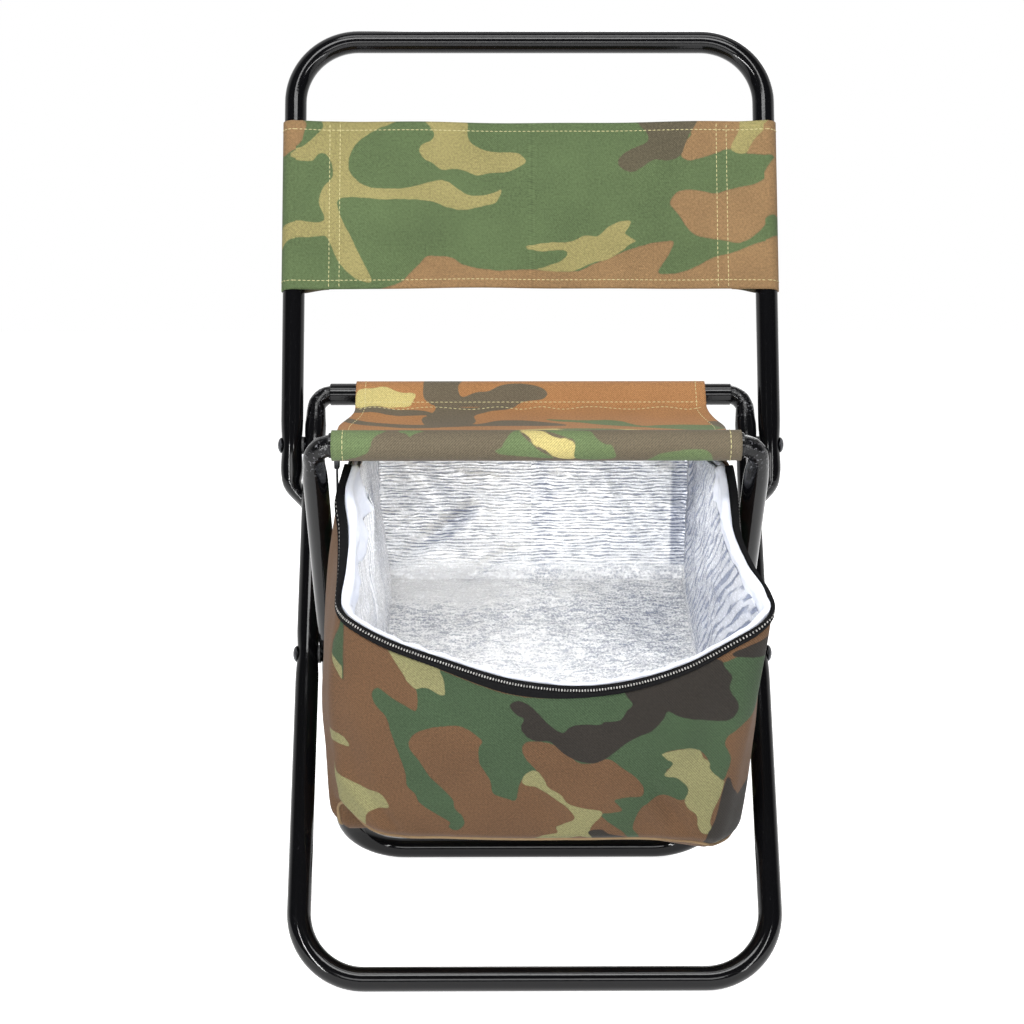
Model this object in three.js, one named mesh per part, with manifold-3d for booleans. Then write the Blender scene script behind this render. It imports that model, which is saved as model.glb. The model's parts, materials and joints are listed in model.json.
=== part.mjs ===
// Folding cooler stool: two crossed tube loops carry a cloth seat, a third loop carries a cloth
// backrest, and an insulated bag with a zip hangs between the legs.
// Millimetres. X runs across the stool, Y runs from the front to the back, and Z runs up.
import * as THREE from 'three';
import { mergeVertices } from 'three/addons/utils/BufferGeometryUtils.js';
import Module from 'manifold-3d';

const wasm = await Module();
wasm.setup();

// Tubes, which are the same steel tube in all three loops
const tube_radius = 8;
const tube_wall = 1.2;
const loop_gap = 0.5;
const floor_bend_radius = 44;
const backrest_bend_radius = 46;
const seat_bend_radius = 10;
const seat_bar_wall = 1;
const neck_insert = 26;
const neck_blend = 10;
const dimple_depth = 0.8;
const dimple_bulge = 0.4;
const dimple_half_length = 7;
const dimple_blend = 6;

// Places of the bars in the side view, from the centre of the front floor bar and from the floor
const rear_seat_bar_back = 218;
const rear_seat_bar_height = 364;
const front_seat_bar_back = 2;
const front_seat_bar_height = 359;
const rear_floor_bar_back = 247;
const backrest_bar_back = 288;
const backrest_bar_height = 617;
const backrest_pivot_share = 0.904;
const legs_closed_turn = THREE.MathUtils.degToRad(58);

// Half the distance between the two uprights of the backrest loop
const backrest_half_width = 172;

// Lower ends of the backrest loop, which bear on the back of the outer legs
const stop_bear_start = 48;
const stop_bear_length = 18;
const stop_inset = 14;
const stop_inset_start = 24;
const stop_half_thickness = 4.7;
const stop_half_depth = 9.4;

// Rivets and washers
const rivet_radius = 2.5;
const rivet_head_radius = 5.6;
const rivet_head_height = 2.8;
const rivet_tail_radius = 4.2;
const rivet_tail_height = 2;
const washer_radius = 6.4;

// Cloth seat and backrest
const cloth_thickness = 1.2;
const seat_end_margin = 3;
const seat_stitch_distance = 20;
const seat_stitch_drop = 7.4;
const seat_sag = 12;
const band_bottom = 113;
const band_bend_gap = 16.25;
const band_stitch_inset = 26;
const band_forward = 6;

// Bag
const bag_side_gap = 13;
const bag_side_taper = 5;
const bag_side_swell = 1.5;
const bag_front_swell = 9;
const bag_front_bow = 6;
const bag_right_flare = 17;
const bag_right_base_flare = -4;
const bag_left_flare = -7;
const bag_left_swell = 12;
const bag_flare_gap = 6;
const bag_flare_blend = 60;
const bag_front = -40;
const bag_base_front = 14;
const bag_back = 196;
const bag_base_back = 186;
const bag_corner_radius = 22;
const bag_base_front_height = 97;
const bag_base_back_height = 80;
const bag_front_corner_height = 262;
const bag_front_sag = 48;
const bag_sag_skew_share = 0.08;
const bag_sag_power = 3;
const zip_end_back = 45;
const zip_end_blend = 7;
const foam_thickness = 4;
const foam_rise = 2.5;
const foil_thickness = 1;
const foil_drop = 10;
const liner_base_front_height = 165;
const liner_base_back_height = 230;

// Zip
const zip_height = 7;
const zip_thickness = 1.2;
const seat_zip_inset = 11;
const seat_zip_front = 36;
const seat_zip_back = 92;
const seat_zip_height = 5;
const slider_length = 10;
const slider_height = 8;
const slider_thickness = 3.2;
const slider_corner_radius = 2;
const slider_behind_zip_end = 6;
const pull_length = 24;
const pull_width = 5;
const pull_thickness = 1.2;
const pull_corner_radius = 1.6;

// Clearances and overruns
const clearance = 0.3;
const rim_clearance = 0.6;
const layer_clearance = 0.9;
const overrun = 4;

// Facets of the curved surfaces
const tube_sides = 12;
const bend_steps = 6;
const tight_bend_steps = 5;
const rivet_sides = 16;
const sleeve_steps = 12;
const sag_steps = 10;
const joggle_steps = 7;
const bag_levels = 9;
const seat_zip_steps = 4;
const base_turns = 6;
const plate_arc_steps = 4;

// Worked-out sizes
const facet_share = Math.cos(Math.PI / tube_sides);
const floor_bar_height = tube_radius * facet_share;
const outer_half_width = backrest_half_width - 2 * tube_radius - loop_gap;
const inner_half_width = outer_half_width - 2 * tube_radius - loop_gap;
const seat_half_width = inner_half_width - seat_bend_radius - seat_end_margin;
const bag_half_width = inner_half_width - bag_side_gap;
const bag_base_half_width = bag_half_width - bag_side_taper;
const seat_zip_half_width = bag_half_width - seat_zip_inset;
const bag_front_corner = bag_front + bag_front_bow;
const neck_radius = tube_radius - seat_bar_wall - clearance;
const dimple_half_side = tube_radius - dimple_depth;
const dimple_half_normal = tube_radius + dimple_bulge;
const dimple_face = dimple_half_side * facet_share;
const washer_thickness = loop_gap + 2 * (tube_radius - dimple_face) - 2 * clearance;
const sleeve_inner_radius = tube_radius + clearance;
const sleeve_outer_radius = sleeve_inner_radius + cloth_thickness;

// A place in the side view, and its twin in space at a distance x from the middle
const side = (back, height) => new THREE.Vector3(0, back, height);
const across = (point, x) => new THREE.Vector3(x, point.y, point.z);

const front_floor_bar = side(0, floor_bar_height);
const rear_floor_bar = side(rear_floor_bar_back, floor_bar_height);
const rear_seat_bar = side(rear_seat_bar_back, rear_seat_bar_height);
const front_seat_bar = side(front_seat_bar_back, front_seat_bar_height);
const backrest_bar = side(backrest_bar_back, backrest_bar_height);
const backrest_pivot = front_floor_bar.clone().lerp(rear_seat_bar, backrest_pivot_share);
const cross_pivot = crossing(front_floor_bar, rear_seat_bar, rear_floor_bar, front_seat_bar);

// Where the line from a to b meets the line from c to d, in the side view
function crossing(a, b, c, d) {
  const ab = b.clone().sub(a);
  const cd = d.clone().sub(c);
  const ac = c.clone().sub(a);
  const share = (ac.y * cd.z - ac.z * cd.y) / (ab.y * cd.z - ab.z * cd.y);
  return a.clone().addScaledVector(ab, share);
}

// Steady at both ends, from 0 to 1
function ease(share) {
  const t = Math.min(Math.max(share, 0), 1);
  return t * t * (3 - 2 * t);
}

// Closed indexed geometry, with shared corners merged, slivers left out and its faces pointing out
function closed(source) {
  const bare = new THREE.BufferGeometry();
  bare.setAttribute('position', source.getAttribute('position').clone());
  if (source.index) {
    bare.setIndex(source.index.clone());
  }
  const merged = mergeVertices(bare, 1e-4);
  const index = merged.index.array;
  const place = merged.getAttribute('position');
  const kept = [];
  const corner = [new THREE.Vector3(), new THREE.Vector3(), new THREE.Vector3()];
  let volume = 0;
  for (let i = 0; i < index.length; i += 3) {
    const [a, b, c] = [index[i], index[i + 1], index[i + 2]];
    if (a === b || b === c || c === a) {
      continue;
    }
    kept.push(a, b, c);
    [a, b, c].forEach((vertex, k) => corner[k].fromBufferAttribute(place, vertex));
    volume += corner[0].dot(corner[1].cross(corner[2]));
  }
  if (volume < 0) {
    kept.reverse();
  }
  merged.setIndex(kept);
  return merged;
}

// A closed geometry as a solid that can be joined and cut
function solid(geometry) {
  const shape = closed(geometry);
  return new wasm.Manifold(new wasm.Mesh({
    numProp: 3,
    vertProperties: new Float32Array(shape.getAttribute('position').array),
    triVerts: new Uint32Array(shape.index.array),
  }));
}

function fromSolid(manifold) {
  const mesh = manifold.getMesh();
  const places = [];
  for (let i = 0; i < mesh.vertProperties.length; i += mesh.numProp) {
    places.push(mesh.vertProperties[i], mesh.vertProperties[i + 1], mesh.vertProperties[i + 2]);
  }
  const geometry = new THREE.BufferGeometry();
  geometry.setAttribute('position', new THREE.Float32BufferAttribute(places, 3));
  geometry.setIndex(Array.from(mesh.triVerts));
  return geometry;
}

// Closed geometry from rings of points; an open tube joins its last ring to its first
function fromRings(rings, joined) {
  const count = rings[0].length;
  const places = rings.flatMap((ring) => ring.flatMap((p) => [p.x, p.y, p.z]));
  const index = [];
  const spans = joined ? rings.length : rings.length - 1;
  for (let i = 0; i < spans; i += 1) {
    const here = i * count;
    const next = ((i + 1) % rings.length) * count;
    for (let j = 0; j < count; j += 1) {
      const k = (j + 1) % count;
      index.push(here + j, here + k, next + j, here + k, next + k, next + j);
    }
  }
  if (!joined) {
    const last = (rings.length - 1) * count;
    for (let j = 1; j < count - 1; j += 1) {
      index.push(0, j + 1, j, last, last + j, last + j + 1);
    }
  }
  const geometry = new THREE.BufferGeometry();
  geometry.setAttribute('position', new THREE.Float32BufferAttribute(places, 3));
  geometry.setIndex(index);
  return closed(geometry);
}

// Corner points turned into a path with round bends: each entry has a point and a direction
function bentPath(corners, radii, steps) {
  const path = [];
  const first = corners[1].clone().sub(corners[0]).normalize();
  path.push({ point: corners[0].clone(), direction: first });
  for (let i = 1; i < corners.length - 1; i += 1) {
    const into = corners[i].clone().sub(corners[i - 1]).normalize();
    const out = corners[i + 1].clone().sub(corners[i]).normalize();
    const turn = into.angleTo(out);
    const reach = radii[i - 1] * Math.tan(turn / 2);
    const start = corners[i].clone().addScaledVector(into, -reach);
    const inward = out.clone().addScaledVector(into, -out.dot(into)).normalize();
    const centre = start.clone().addScaledVector(inward, radii[i - 1]);
    for (let k = 0; k <= steps[i - 1]; k += 1) {
      const angle = (turn * k) / steps[i - 1];
      const point = centre.clone();
      point.addScaledVector(inward, -radii[i - 1] * Math.cos(angle));
      point.addScaledVector(into, radii[i - 1] * Math.sin(angle));
      const direction = into.clone().multiplyScalar(Math.cos(angle));
      direction.addScaledVector(inward, Math.sin(angle));
      path.push({ point, direction });
    }
  }
  const end = corners[corners.length - 1];
  const last = end.clone().sub(corners[corners.length - 2]).normalize();
  path.push({ point: end.clone(), direction: last });
  return path;
}

// Hollow tube along stations, each with a point, a direction, two half sizes and a facet turn
function hollowTube(stations, normal) {
  const outer = [];
  const inner = [];
  for (const station of stations) {
    const up = normal.clone().addScaledVector(station.direction, -normal.dot(station.direction));
    up.normalize();
    const sideways = up.clone().cross(station.direction).normalize();
    for (const [rings, wall] of [[outer, 0], [inner, tube_wall]]) {
      const ring = [];
      for (let j = 0; j < tube_sides; j += 1) {
        const angle = station.turn + ((j + 0.5) * 2 * Math.PI) / tube_sides;
        const point = station.point.clone();
        point.addScaledVector(sideways, (station.half_side - wall) * Math.cos(angle));
        point.addScaledVector(up, (station.half_normal - wall) * Math.sin(angle));
        ring.push(point);
      }
      rings.push(ring);
    }
  }
  return fromRings([...outer, ...inner.reverse()], true);
}

// Pin along X at a place of the side view, used as a cutter for the rivet holes
function crossBore(place, radius, half_length) {
  const geometry = new THREE.CylinderGeometry(radius, radius, 2 * half_length, rivet_sides);
  geometry.rotateZ(Math.PI / 2);
  geometry.translate(0, place.y, place.z);
  return solid(geometry);
}

// Half sizes of a leg at a distance down from its seat bar: drawn down in the bend, pressed flat
// at each rivet, and round elsewhere
function legSection(down, rivets) {
  const open = ease((down - seat_bend_radius) / neck_blend);
  let half_side = neck_radius + (tube_radius - neck_radius) * open;
  let half_normal = half_side;
  for (const rivet of rivets) {
    const away = Math.max(Math.abs(down - rivet) - dimple_half_length, 0) / dimple_blend;
    const pressed = 1 - Math.min(away, 1);
    half_side += (dimple_half_side - half_side) * pressed;
    half_normal += (dimple_half_normal - half_normal) * pressed;
  }
  return { half_side, half_normal };
}

// Distances down a leg where its section changes
function legStops(rivets, length) {
  const reach = dimple_half_length + dimple_blend;
  const stops = [seat_bend_radius + neck_blend / 2, seat_bend_radius + neck_blend];
  for (const rivet of rivets) {
    stops.push(rivet - reach, rivet - dimple_half_length);
    stops.push(rivet + dimple_half_length, rivet + reach);
  }
  const lowest = length - floor_bend_radius;
  return stops.filter((stop) => stop > seat_bend_radius && stop < lowest).sort((a, b) => a - b);
}

// Leg loop: both ends are pushed into the seat bar, and the far side is the floor bar
function legLoop(seat_bar, floor_bar, half_width, pivots) {
  const leg = floor_bar.clone().sub(seat_bar);
  const length = leg.length();
  const down = leg.clone().normalize();
  const normal = new THREE.Vector3(1, 0, 0).cross(down).normalize();
  const end = half_width - seat_bend_radius - neck_insert;
  const corners = [
    across(seat_bar, -end), across(seat_bar, -half_width), across(floor_bar, -half_width),
    across(floor_bar, half_width), across(seat_bar, half_width), across(seat_bar, end),
  ];
  const radii = [seat_bend_radius, floor_bend_radius, floor_bend_radius, seat_bend_radius];
  const steps = [tight_bend_steps, bend_steps, bend_steps, tight_bend_steps];
  const path = bentPath(corners, radii, steps);
  const rivets = pivots.map((pivot) => pivot.distanceTo(seat_bar));
  const stops = legStops(rivets, length);
  const first_leg = tight_bend_steps + 2;
  const last_leg = path.length - first_leg;
  const extra = (sign, list) => list.map((stop) => ({
    point: across(seat_bar, sign * half_width).addScaledVector(down, stop),
    direction: down.clone().multiplyScalar(-sign),
  }));
  const whole = [
    ...path.slice(0, first_leg), ...extra(-1, stops),
    ...path.slice(first_leg, last_leg), ...extra(1, [...stops].reverse()),
    ...path.slice(last_leg),
  ];
  // The facets turn in the floor bends so that one of them lies flat on the floor
  const tilt = Math.atan2(Math.abs(leg.y), Math.abs(leg.z));
  const facet = (2 * Math.PI) / tube_sides;
  const flat_turn = Math.sign(leg.y) * (facet * Math.round(tilt / facet) - tilt);
  const stations = whole.map(({ point, direction }) => {
    const depth = point.clone().sub(seat_bar).dot(down);
    const turn = flat_turn * ease((depth - length + floor_bend_radius) / floor_bend_radius);
    return { point, direction, turn, ...legSection(depth, rivets) };
  });
  let loop = solid(hollowTube(stations, normal));
  for (const pivot of pivots) {
    loop = loop.subtract(crossBore(pivot, rivet_radius + clearance, half_width + 2 * tube_radius));
  }
  return fromSolid(loop);
}

// Straight tube of a seat bar, with the bore that takes the drawn-down ends of its leg loop
function seatBar(place, half_width) {
  const half_length = half_width - seat_bend_radius;
  const bore = tube_radius - seat_bar_wall;
  const profile = [
    new THREE.Vector2(bore, -half_length), new THREE.Vector2(tube_radius, -half_length),
    new THREE.Vector2(tube_radius, half_length), new THREE.Vector2(bore, half_length),
    new THREE.Vector2(bore, -half_length),
  ];
  const geometry = new THREE.LatheGeometry(profile, 2 * tube_sides);
  geometry.rotateZ(Math.PI / 2);
  geometry.translate(0, place.y, place.z);
  return closed(geometry);
}

// Backrest loop: two uprights and a top bar, with flattened lower ends bent in behind the legs
const backrest_rise = backrest_bar.clone().sub(backrest_pivot);
const backrest_up = backrest_rise.clone().normalize();
const leg_up = rear_seat_bar.clone().sub(front_floor_bar).normalize();
const leg_back = new THREE.Vector3(0, leg_up.z, -leg_up.y);

function backrestLoop() {
  const bear = tube_radius + stop_half_depth + clearance;
  const lean = backrest_up.angleTo(leg_up);
  const stop_end = stop_bear_start + stop_bear_length;
  const shift = bear - stop_bear_start * Math.sin(lean);
  const lowerPoint = (sign, down) => {
    const apart = down < stop_bear_start
      ? down * Math.sin(lean) + shift * ease(down / stop_bear_start)
      : bear;
    const inset_length = stop_bear_start + clearance - stop_inset_start;
    const inset = stop_inset * ease((down - stop_inset_start) / inset_length);
    const point = across(backrest_pivot, sign * (backrest_half_width - inset));
    return point.addScaledVector(leg_up, -down * Math.cos(lean)).addScaledVector(leg_back, apart);
  };
  const section = (down) => {
    const pressed = 1 - Math.min(Math.max(Math.abs(down) - dimple_half_length, 0) / dimple_blend, 1);
    const flat = ease((down - stop_inset_start) / (stop_bear_start - stop_inset_start));
    const half_side = tube_radius - dimple_depth * pressed;
    const half_normal = tube_radius + dimple_bulge * pressed;
    return {
      half_side: half_side + (stop_half_thickness - tube_radius) * flat,
      half_normal: half_normal + (stop_half_depth - tube_radius) * flat,
    };
  };
  const lower = (sign) => {
    const downs = [stop_end];
    for (let i = joggle_steps; i >= 1; i -= 1) {
      downs.push(dimple_half_length + ((stop_bear_start - dimple_half_length) * i) / joggle_steps);
    }
    downs.push(dimple_half_length);
    return downs.map((down) => {
      const ahead = lowerPoint(sign, down - overrun);
      const behind = lowerPoint(sign, down + overrun);
      const direction = ahead.sub(behind).normalize().multiplyScalar(-sign);
      return { point: lowerPoint(sign, down), direction, turn: 0, ...section(down) };
    });
  };
  const reach = dimple_half_length + dimple_blend;
  const upper = (sign, list) => list.map((up) => ({
    point: across(backrest_pivot, sign * backrest_half_width).addScaledVector(backrest_up, up),
    direction: backrest_up.clone().multiplyScalar(-sign),
    turn: 0,
    ...section(-up),
  }));
  const corners = [
    across(backrest_pivot, -backrest_half_width), across(backrest_bar, -backrest_half_width),
    across(backrest_bar, backrest_half_width), across(backrest_pivot, backrest_half_width),
  ];
  const radii = [backrest_bend_radius, backrest_bend_radius];
  const bends = bentPath(corners, radii, [bend_steps, bend_steps]).slice(1, -1);
  const stations = [
    ...lower(-1), ...upper(-1, [dimple_half_length, reach]),
    ...bends.map((place) => ({ ...place, turn: 0, half_side: tube_radius, half_normal: tube_radius })),
    ...upper(1, [reach, dimple_half_length]), ...lower(1).reverse(),
  ];
  const normal = new THREE.Vector3(1, 0, 0).cross(backrest_up).negate();
  const loop = solid(hollowTube(stations, normal));
  const reach_across = backrest_half_width + 2 * tube_radius;
  return fromSolid(loop.subtract(crossBore(backrest_pivot, rivet_radius + clearance, reach_across)));
}

// Rivet along X through an outer and an inner tube: domed head outside, upset tail inside
const dome_radius_shares = [0, 0.5, 0.85, 1];
const dome_fall_share = 0.8;

function rivet(place, sign, outer_x, inner_x) {
  const head_seat = outer_x + dimple_face + clearance;
  const tail_seat = inner_x - dimple_face - clearance;
  const dome = dome_radius_shares.map((share) => new THREE.Vector2(
    rivet_head_radius * share,
    head_seat + rivet_head_height * Math.sqrt(1 - dome_fall_share * share ** 2),
  ));
  const profile = [
    ...dome,
    new THREE.Vector2(rivet_head_radius, head_seat), new THREE.Vector2(rivet_radius, head_seat),
    new THREE.Vector2(rivet_radius, tail_seat), new THREE.Vector2(rivet_tail_radius, tail_seat),
    new THREE.Vector2(rivet_tail_radius, tail_seat - rivet_tail_height),
    new THREE.Vector2(0, tail_seat - rivet_tail_height),
  ];
  const geometry = new THREE.LatheGeometry(profile, rivet_sides);
  geometry.rotateZ((-sign * Math.PI) / 2);
  geometry.translate(0, place.y, place.z);
  return closed(geometry);
}

// Flat ring between two tubes, round a rivet
function washer(place, sign, outer_x, inner_x) {
  const middle = (outer_x + inner_x) / 2;
  const bore = rivet_radius + clearance;
  const low = middle - washer_thickness / 2;
  const high = middle + washer_thickness / 2;
  const profile = [
    new THREE.Vector2(bore, low), new THREE.Vector2(washer_radius, low),
    new THREE.Vector2(washer_radius, high), new THREE.Vector2(bore, high),
    new THREE.Vector2(bore, low),
  ];
  const geometry = new THREE.LatheGeometry(profile, rivet_sides);
  geometry.rotateZ((-sign * Math.PI) / 2);
  geometry.translate(0, place.y, place.z);
  return closed(geometry);
}

// Outline of cloth wrapped round a tube and stitched at a point away from it
function teardrop(radius, stitch) {
  const distance = stitch.length();
  const aim = Math.atan2(stitch.y, stitch.x);
  const open = Math.acos(Math.min(radius / distance, 1));
  const shape = new THREE.Shape();
  shape.moveTo(stitch.x, stitch.y);
  for (let i = 0; i <= sleeve_steps; i += 1) {
    const angle = aim + open + ((2 * Math.PI - 2 * open) * i) / sleeve_steps;
    shape.lineTo(radius * Math.cos(angle), radius * Math.sin(angle));
  }
  shape.closePath();
  return shape;
}

// Cloth sleeve as a solid: its outline is drawn in the plane of first and second, about centre
function sleeve(stitch, centre, first, second, start, length) {
  const inner_stitch = stitch.clone().multiplyScalar(sleeve_inner_radius / sleeve_outer_radius);
  const along = first.clone().cross(second);
  const place = (shape, from, depth) => {
    const geometry = new THREE.ExtrudeGeometry(shape, { depth, bevelEnabled: false });
    geometry.translate(0, 0, from);
    geometry.applyMatrix4(new THREE.Matrix4().makeBasis(first, second, along));
    geometry.translate(centre.x, centre.y, centre.z);
    return solid(geometry);
  };
  return {
    outside: place(teardrop(sleeve_outer_radius, stitch), start, length),
    inside: place(teardrop(sleeve_inner_radius, inner_stitch), start - overrun, length + 2 * overrun),
  };
}

// Height of the middle of the seat cloth between its two sleeves
const rear_stitch = new THREE.Vector2(-Math.sqrt(seat_stitch_distance ** 2 - seat_stitch_drop ** 2),
  -seat_stitch_drop);
const front_stitch = new THREE.Vector2(-rear_stitch.x, rear_stitch.y);
const rear_stitch_place = rear_seat_bar.clone().add(side(rear_stitch.x, rear_stitch.y));
const front_stitch_place = front_seat_bar.clone().add(side(front_stitch.x, front_stitch.y));

function seatMiddle(back) {
  const span = rear_stitch_place.y - front_stitch_place.y;
  const share = Math.min(Math.max((back - front_stitch_place.y) / span, 0), 1);
  const straight = front_stitch_place.z + (rear_stitch_place.z - front_stitch_place.z) * share;
  return straight - 4 * seat_sag * share * (1 - share);
}

const seatUnderside = (back) => seatMiddle(back) - cloth_thickness / 2;

function seatCloth() {
  const y = new THREE.Vector3(0, 1, 0);
  const z = new THREE.Vector3(0, 0, 1);
  const rear = sleeve(rear_stitch, rear_seat_bar, y, z, -seat_half_width, 2 * seat_half_width);
  const front = sleeve(front_stitch, front_seat_bar, y, z, -seat_half_width, 2 * seat_half_width);
  const shape = new THREE.Shape();
  const from = front_stitch_place.y - cloth_thickness;
  const to = rear_stitch_place.y + cloth_thickness;
  for (let i = 0; i <= sag_steps; i += 1) {
    const back = from + ((to - from) * i) / sag_steps;
    const height = seatUnderside(back);
    if (i === 0) {
      shape.moveTo(back, height);
    } else {
      shape.lineTo(back, height);
    }
  }
  for (let i = sag_steps; i >= 0; i -= 1) {
    const back = from + ((to - from) * i) / sag_steps;
    shape.lineTo(back, seatMiddle(back) + cloth_thickness / 2);
  }
  shape.closePath();
  const depth = 2 * seat_half_width;
  const sheet = new THREE.ExtrudeGeometry(shape, { depth, bevelEnabled: false });
  sheet.translate(0, 0, -seat_half_width);
  sheet.applyMatrix4(new THREE.Matrix4().makeBasis(y, z, new THREE.Vector3(1, 0, 0)));
  let cloth = solid(sheet).add(rear.outside).add(front.outside);
  cloth = cloth.subtract(rear.inside).subtract(front.inside);
  return fromSolid(cloth);
}

// Backrest cloth: a sleeve on each upright and one flat panel between them
function backrestBand() {
  const band_top = backrest_rise.length() - backrest_bend_radius - band_bend_gap;
  const band_height = band_top - band_bottom;
  const x = new THREE.Vector3(1, 0, 0);
  const forward = x.clone().cross(backrest_up);
  forward.multiplyScalar(Math.sign(-forward.y));
  const panel_half = backrest_half_width - band_stitch_inset + cloth_thickness;
  const shape = new THREE.Shape();
  shape.moveTo(-panel_half, band_forward - cloth_thickness / 2);
  shape.lineTo(panel_half, band_forward - cloth_thickness / 2);
  shape.lineTo(panel_half, band_forward + cloth_thickness / 2);
  shape.lineTo(-panel_half, band_forward + cloth_thickness / 2);
  shape.closePath();
  const panel = new THREE.ExtrudeGeometry(shape, { depth: band_height, bevelEnabled: false });
  panel.applyMatrix4(new THREE.Matrix4().makeBasis(x, forward, x.clone().cross(forward)));
  const low = backrest_pivot.clone().addScaledVector(backrest_up, band_bottom);
  const rise_sign = Math.sign(x.clone().cross(forward).dot(backrest_up));
  const base = low.clone();
  if (rise_sign < 0) {
    base.addScaledVector(backrest_up, band_height);
  }
  panel.translate(base.x, base.y, base.z);
  let cloth = solid(panel);
  const holes = [];
  for (const sign of [-1, 1]) {
    const stitch = new THREE.Vector2(-sign * band_stitch_inset, band_forward);
    const centre = across(base, sign * backrest_half_width);
    const part = sleeve(stitch, centre, x, forward, 0, band_height);
    cloth = cloth.add(part.outside);
    holes.push(part.inside);
  }
  holes.forEach((hole) => {
    cloth = cloth.subtract(hole);
  });
  return fromSolid(cloth);
}

// Columns round the bag: where each stands between front and back (0 to 1), and across (-1 to 1)
const side_shares = [0.08, 0.18, 0.265, 0.31, 0.45, 0.58, 0.72, 0.86];
const front_shares = [-0.85, -0.6, -0.3, 0, 0.3, 0.6, 0.85];
const back_shares = [0.6, 0, -0.6];
const corner_steps = 4;

// One round of the bag at a level from 0 (base) to 1 (rim), drawn in by inset. Its front is bowed and
// swollen between the corners
function bagRing(level, inset) {
  const full = Math.sin(Math.PI * level);
  const half = THREE.MathUtils.lerp(bag_base_half_width, bag_half_width, level)
    + bag_side_swell * full - inset;
  const front = THREE.MathUtils.lerp(bag_base_front, bag_front_corner, level) + inset;
  const back = THREE.MathUtils.lerp(bag_base_back, bag_back, level) - inset;
  const bow = bag_front_bow * level + bag_front_swell * full;
  const radius = bag_corner_radius - inset;
  const ring = [];
  const corner = (cx, cy, from) => {
    for (let i = 0; i <= corner_steps; i += 1) {
      const angle = from + (Math.PI / 2) * (i / corner_steps);
      ring.push(new THREE.Vector2(cx + radius * Math.cos(angle), cy + radius * Math.sin(angle)));
    }
  };
  const run = front + radius;
  const reach = back - front - 2 * radius;
  corner(-(half - radius), front + radius, Math.PI);
  front_shares.forEach((share) => {
    ring.push(new THREE.Vector2(share * (half - radius), front - bow * (1 - share ** 2)));
  });
  corner(half - radius, front + radius, 1.5 * Math.PI);
  side_shares.forEach((share) => ring.push(new THREE.Vector2(half, run + share * reach)));
  corner(half - radius, back - radius, 0);
  back_shares.forEach((share) => ring.push(new THREE.Vector2(share * (half - radius), back)));
  corner(-(half - radius), back - radius, Math.PI / 2);
  [...side_shares].reverse().forEach((share) => ring.push(new THREE.Vector2(-half, run + share * reach)));
  return ring;
}

// Height of the bag's rim over a place of its top round: up at the seat behind the end of the zip,
// falling to the front corners, and sagging across the front
function rimHeight(place) {
  const at_seat = seatUnderside(Math.max(place.y, zip_end_back)) - rim_clearance;
  if (place.y >= zip_end_back) {
    return at_seat;
  }
  const share = Math.min((zip_end_back - place.y) / (zip_end_back - bag_front_corner), 1);
  const skewed_share = place.x / (bag_half_width - bag_corner_radius) - bag_sag_skew_share;
  const across_share = Math.min(Math.abs(skewed_share), 1);
  const near_front = ease(1 - (place.y - bag_front_corner) / bag_corner_radius);
  const sag = bag_front_sag * (1 - across_share ** bag_sag_power) * near_front;
  return THREE.MathUtils.lerp(at_seat, bag_front_corner_height, share) - sag;
}

// Height of a flat base that rises or falls towards the back
const baseHeight = (back, front_height, back_height) => THREE.MathUtils.lerp(front_height, back_height,
  (back - bag_base_front) / (bag_base_back - bag_base_front));

// How far a place in the side view lies ahead of the inner legs, once these have closed by a turn
function aheadOfLegs(back, height, turn) {
  const out = side(back, height).sub(cross_pivot);
  const leg = front_seat_bar.clone().sub(cross_pivot);
  const between = Math.atan2(out.z, out.y) - Math.atan2(leg.z, leg.y) + turn;
  return out.length() * Math.sin(between);
}

// Factor that widens the bag ahead of the inner legs' path, where nothing holds its sides in
function flareFactor(x, back, height, level) {
  const turns = [0, legs_closed_turn];
  const ahead = Math.min(...turns.map((turn) => aheadOfLegs(back, height, turn)));
  const free = ease((ahead - tube_radius - bag_flare_gap) / bag_flare_blend);
  const right = THREE.MathUtils.lerp(bag_right_base_flare, bag_right_flare, level);
  const left = bag_left_flare * level + bag_left_swell * Math.sin(Math.PI * level);
  return 1 + (free * (x > 0 ? right : left)) / bag_half_width;
}

// Place on the bag's wall in one column at a height, drawn in by inset
function wallPlace(column, height, inset) {
  const low = baseHeight(bagRing(0, 0)[column].y, bag_base_front_height, bag_base_back_height);
  const share = (height - low) / (rimHeight(bagRing(1, 0)[column]) - low);
  const level = Math.min(Math.max(share, 0), 1);
  const place = bagRing(level, inset)[column];
  return new THREE.Vector3(place.x * flareFactor(place.x, place.y, height, level), place.y, height);
}

// One layer of the bag, from outer to inner inset, with an open top and a flat closed base
function bagLayer(outer_inset, inner_inset, rimShift, front_height, back_height) {
  const top = bagRing(1, 0);
  const rounds = (inset, base_rise) => {
    const lows = top.map((_, k) => {
      let low = wallPlace(k, bag_base_front_height, inset);
      for (let turn = 0; turn < base_turns; turn += 1) {
        low = wallPlace(k, baseHeight(low.y, front_height, back_height) + base_rise, inset);
      }
      return low.z;
    });
    const highs = bagRing(1, inset).map((place, k) => {
      const limit = seatUnderside(place.y) - rim_clearance;
      return Math.min(rimHeight(top[k]) + rimShift(top[k]), limit);
    });
    const rings = [];
    for (let i = 0; i <= bag_levels; i += 1) {
      const heights = lows.map((low, k) => THREE.MathUtils.lerp(low, highs[k], i / bag_levels));
      rings.push(heights.map((height, k) => wallPlace(k, height, inset)));
    }
    return rings;
  };
  const outside = rounds(outer_inset, 0);
  const inside = rounds(inner_inset, inner_inset - outer_inset).reverse();
  return fromRings([...outside, ...inside], false);
}

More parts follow.
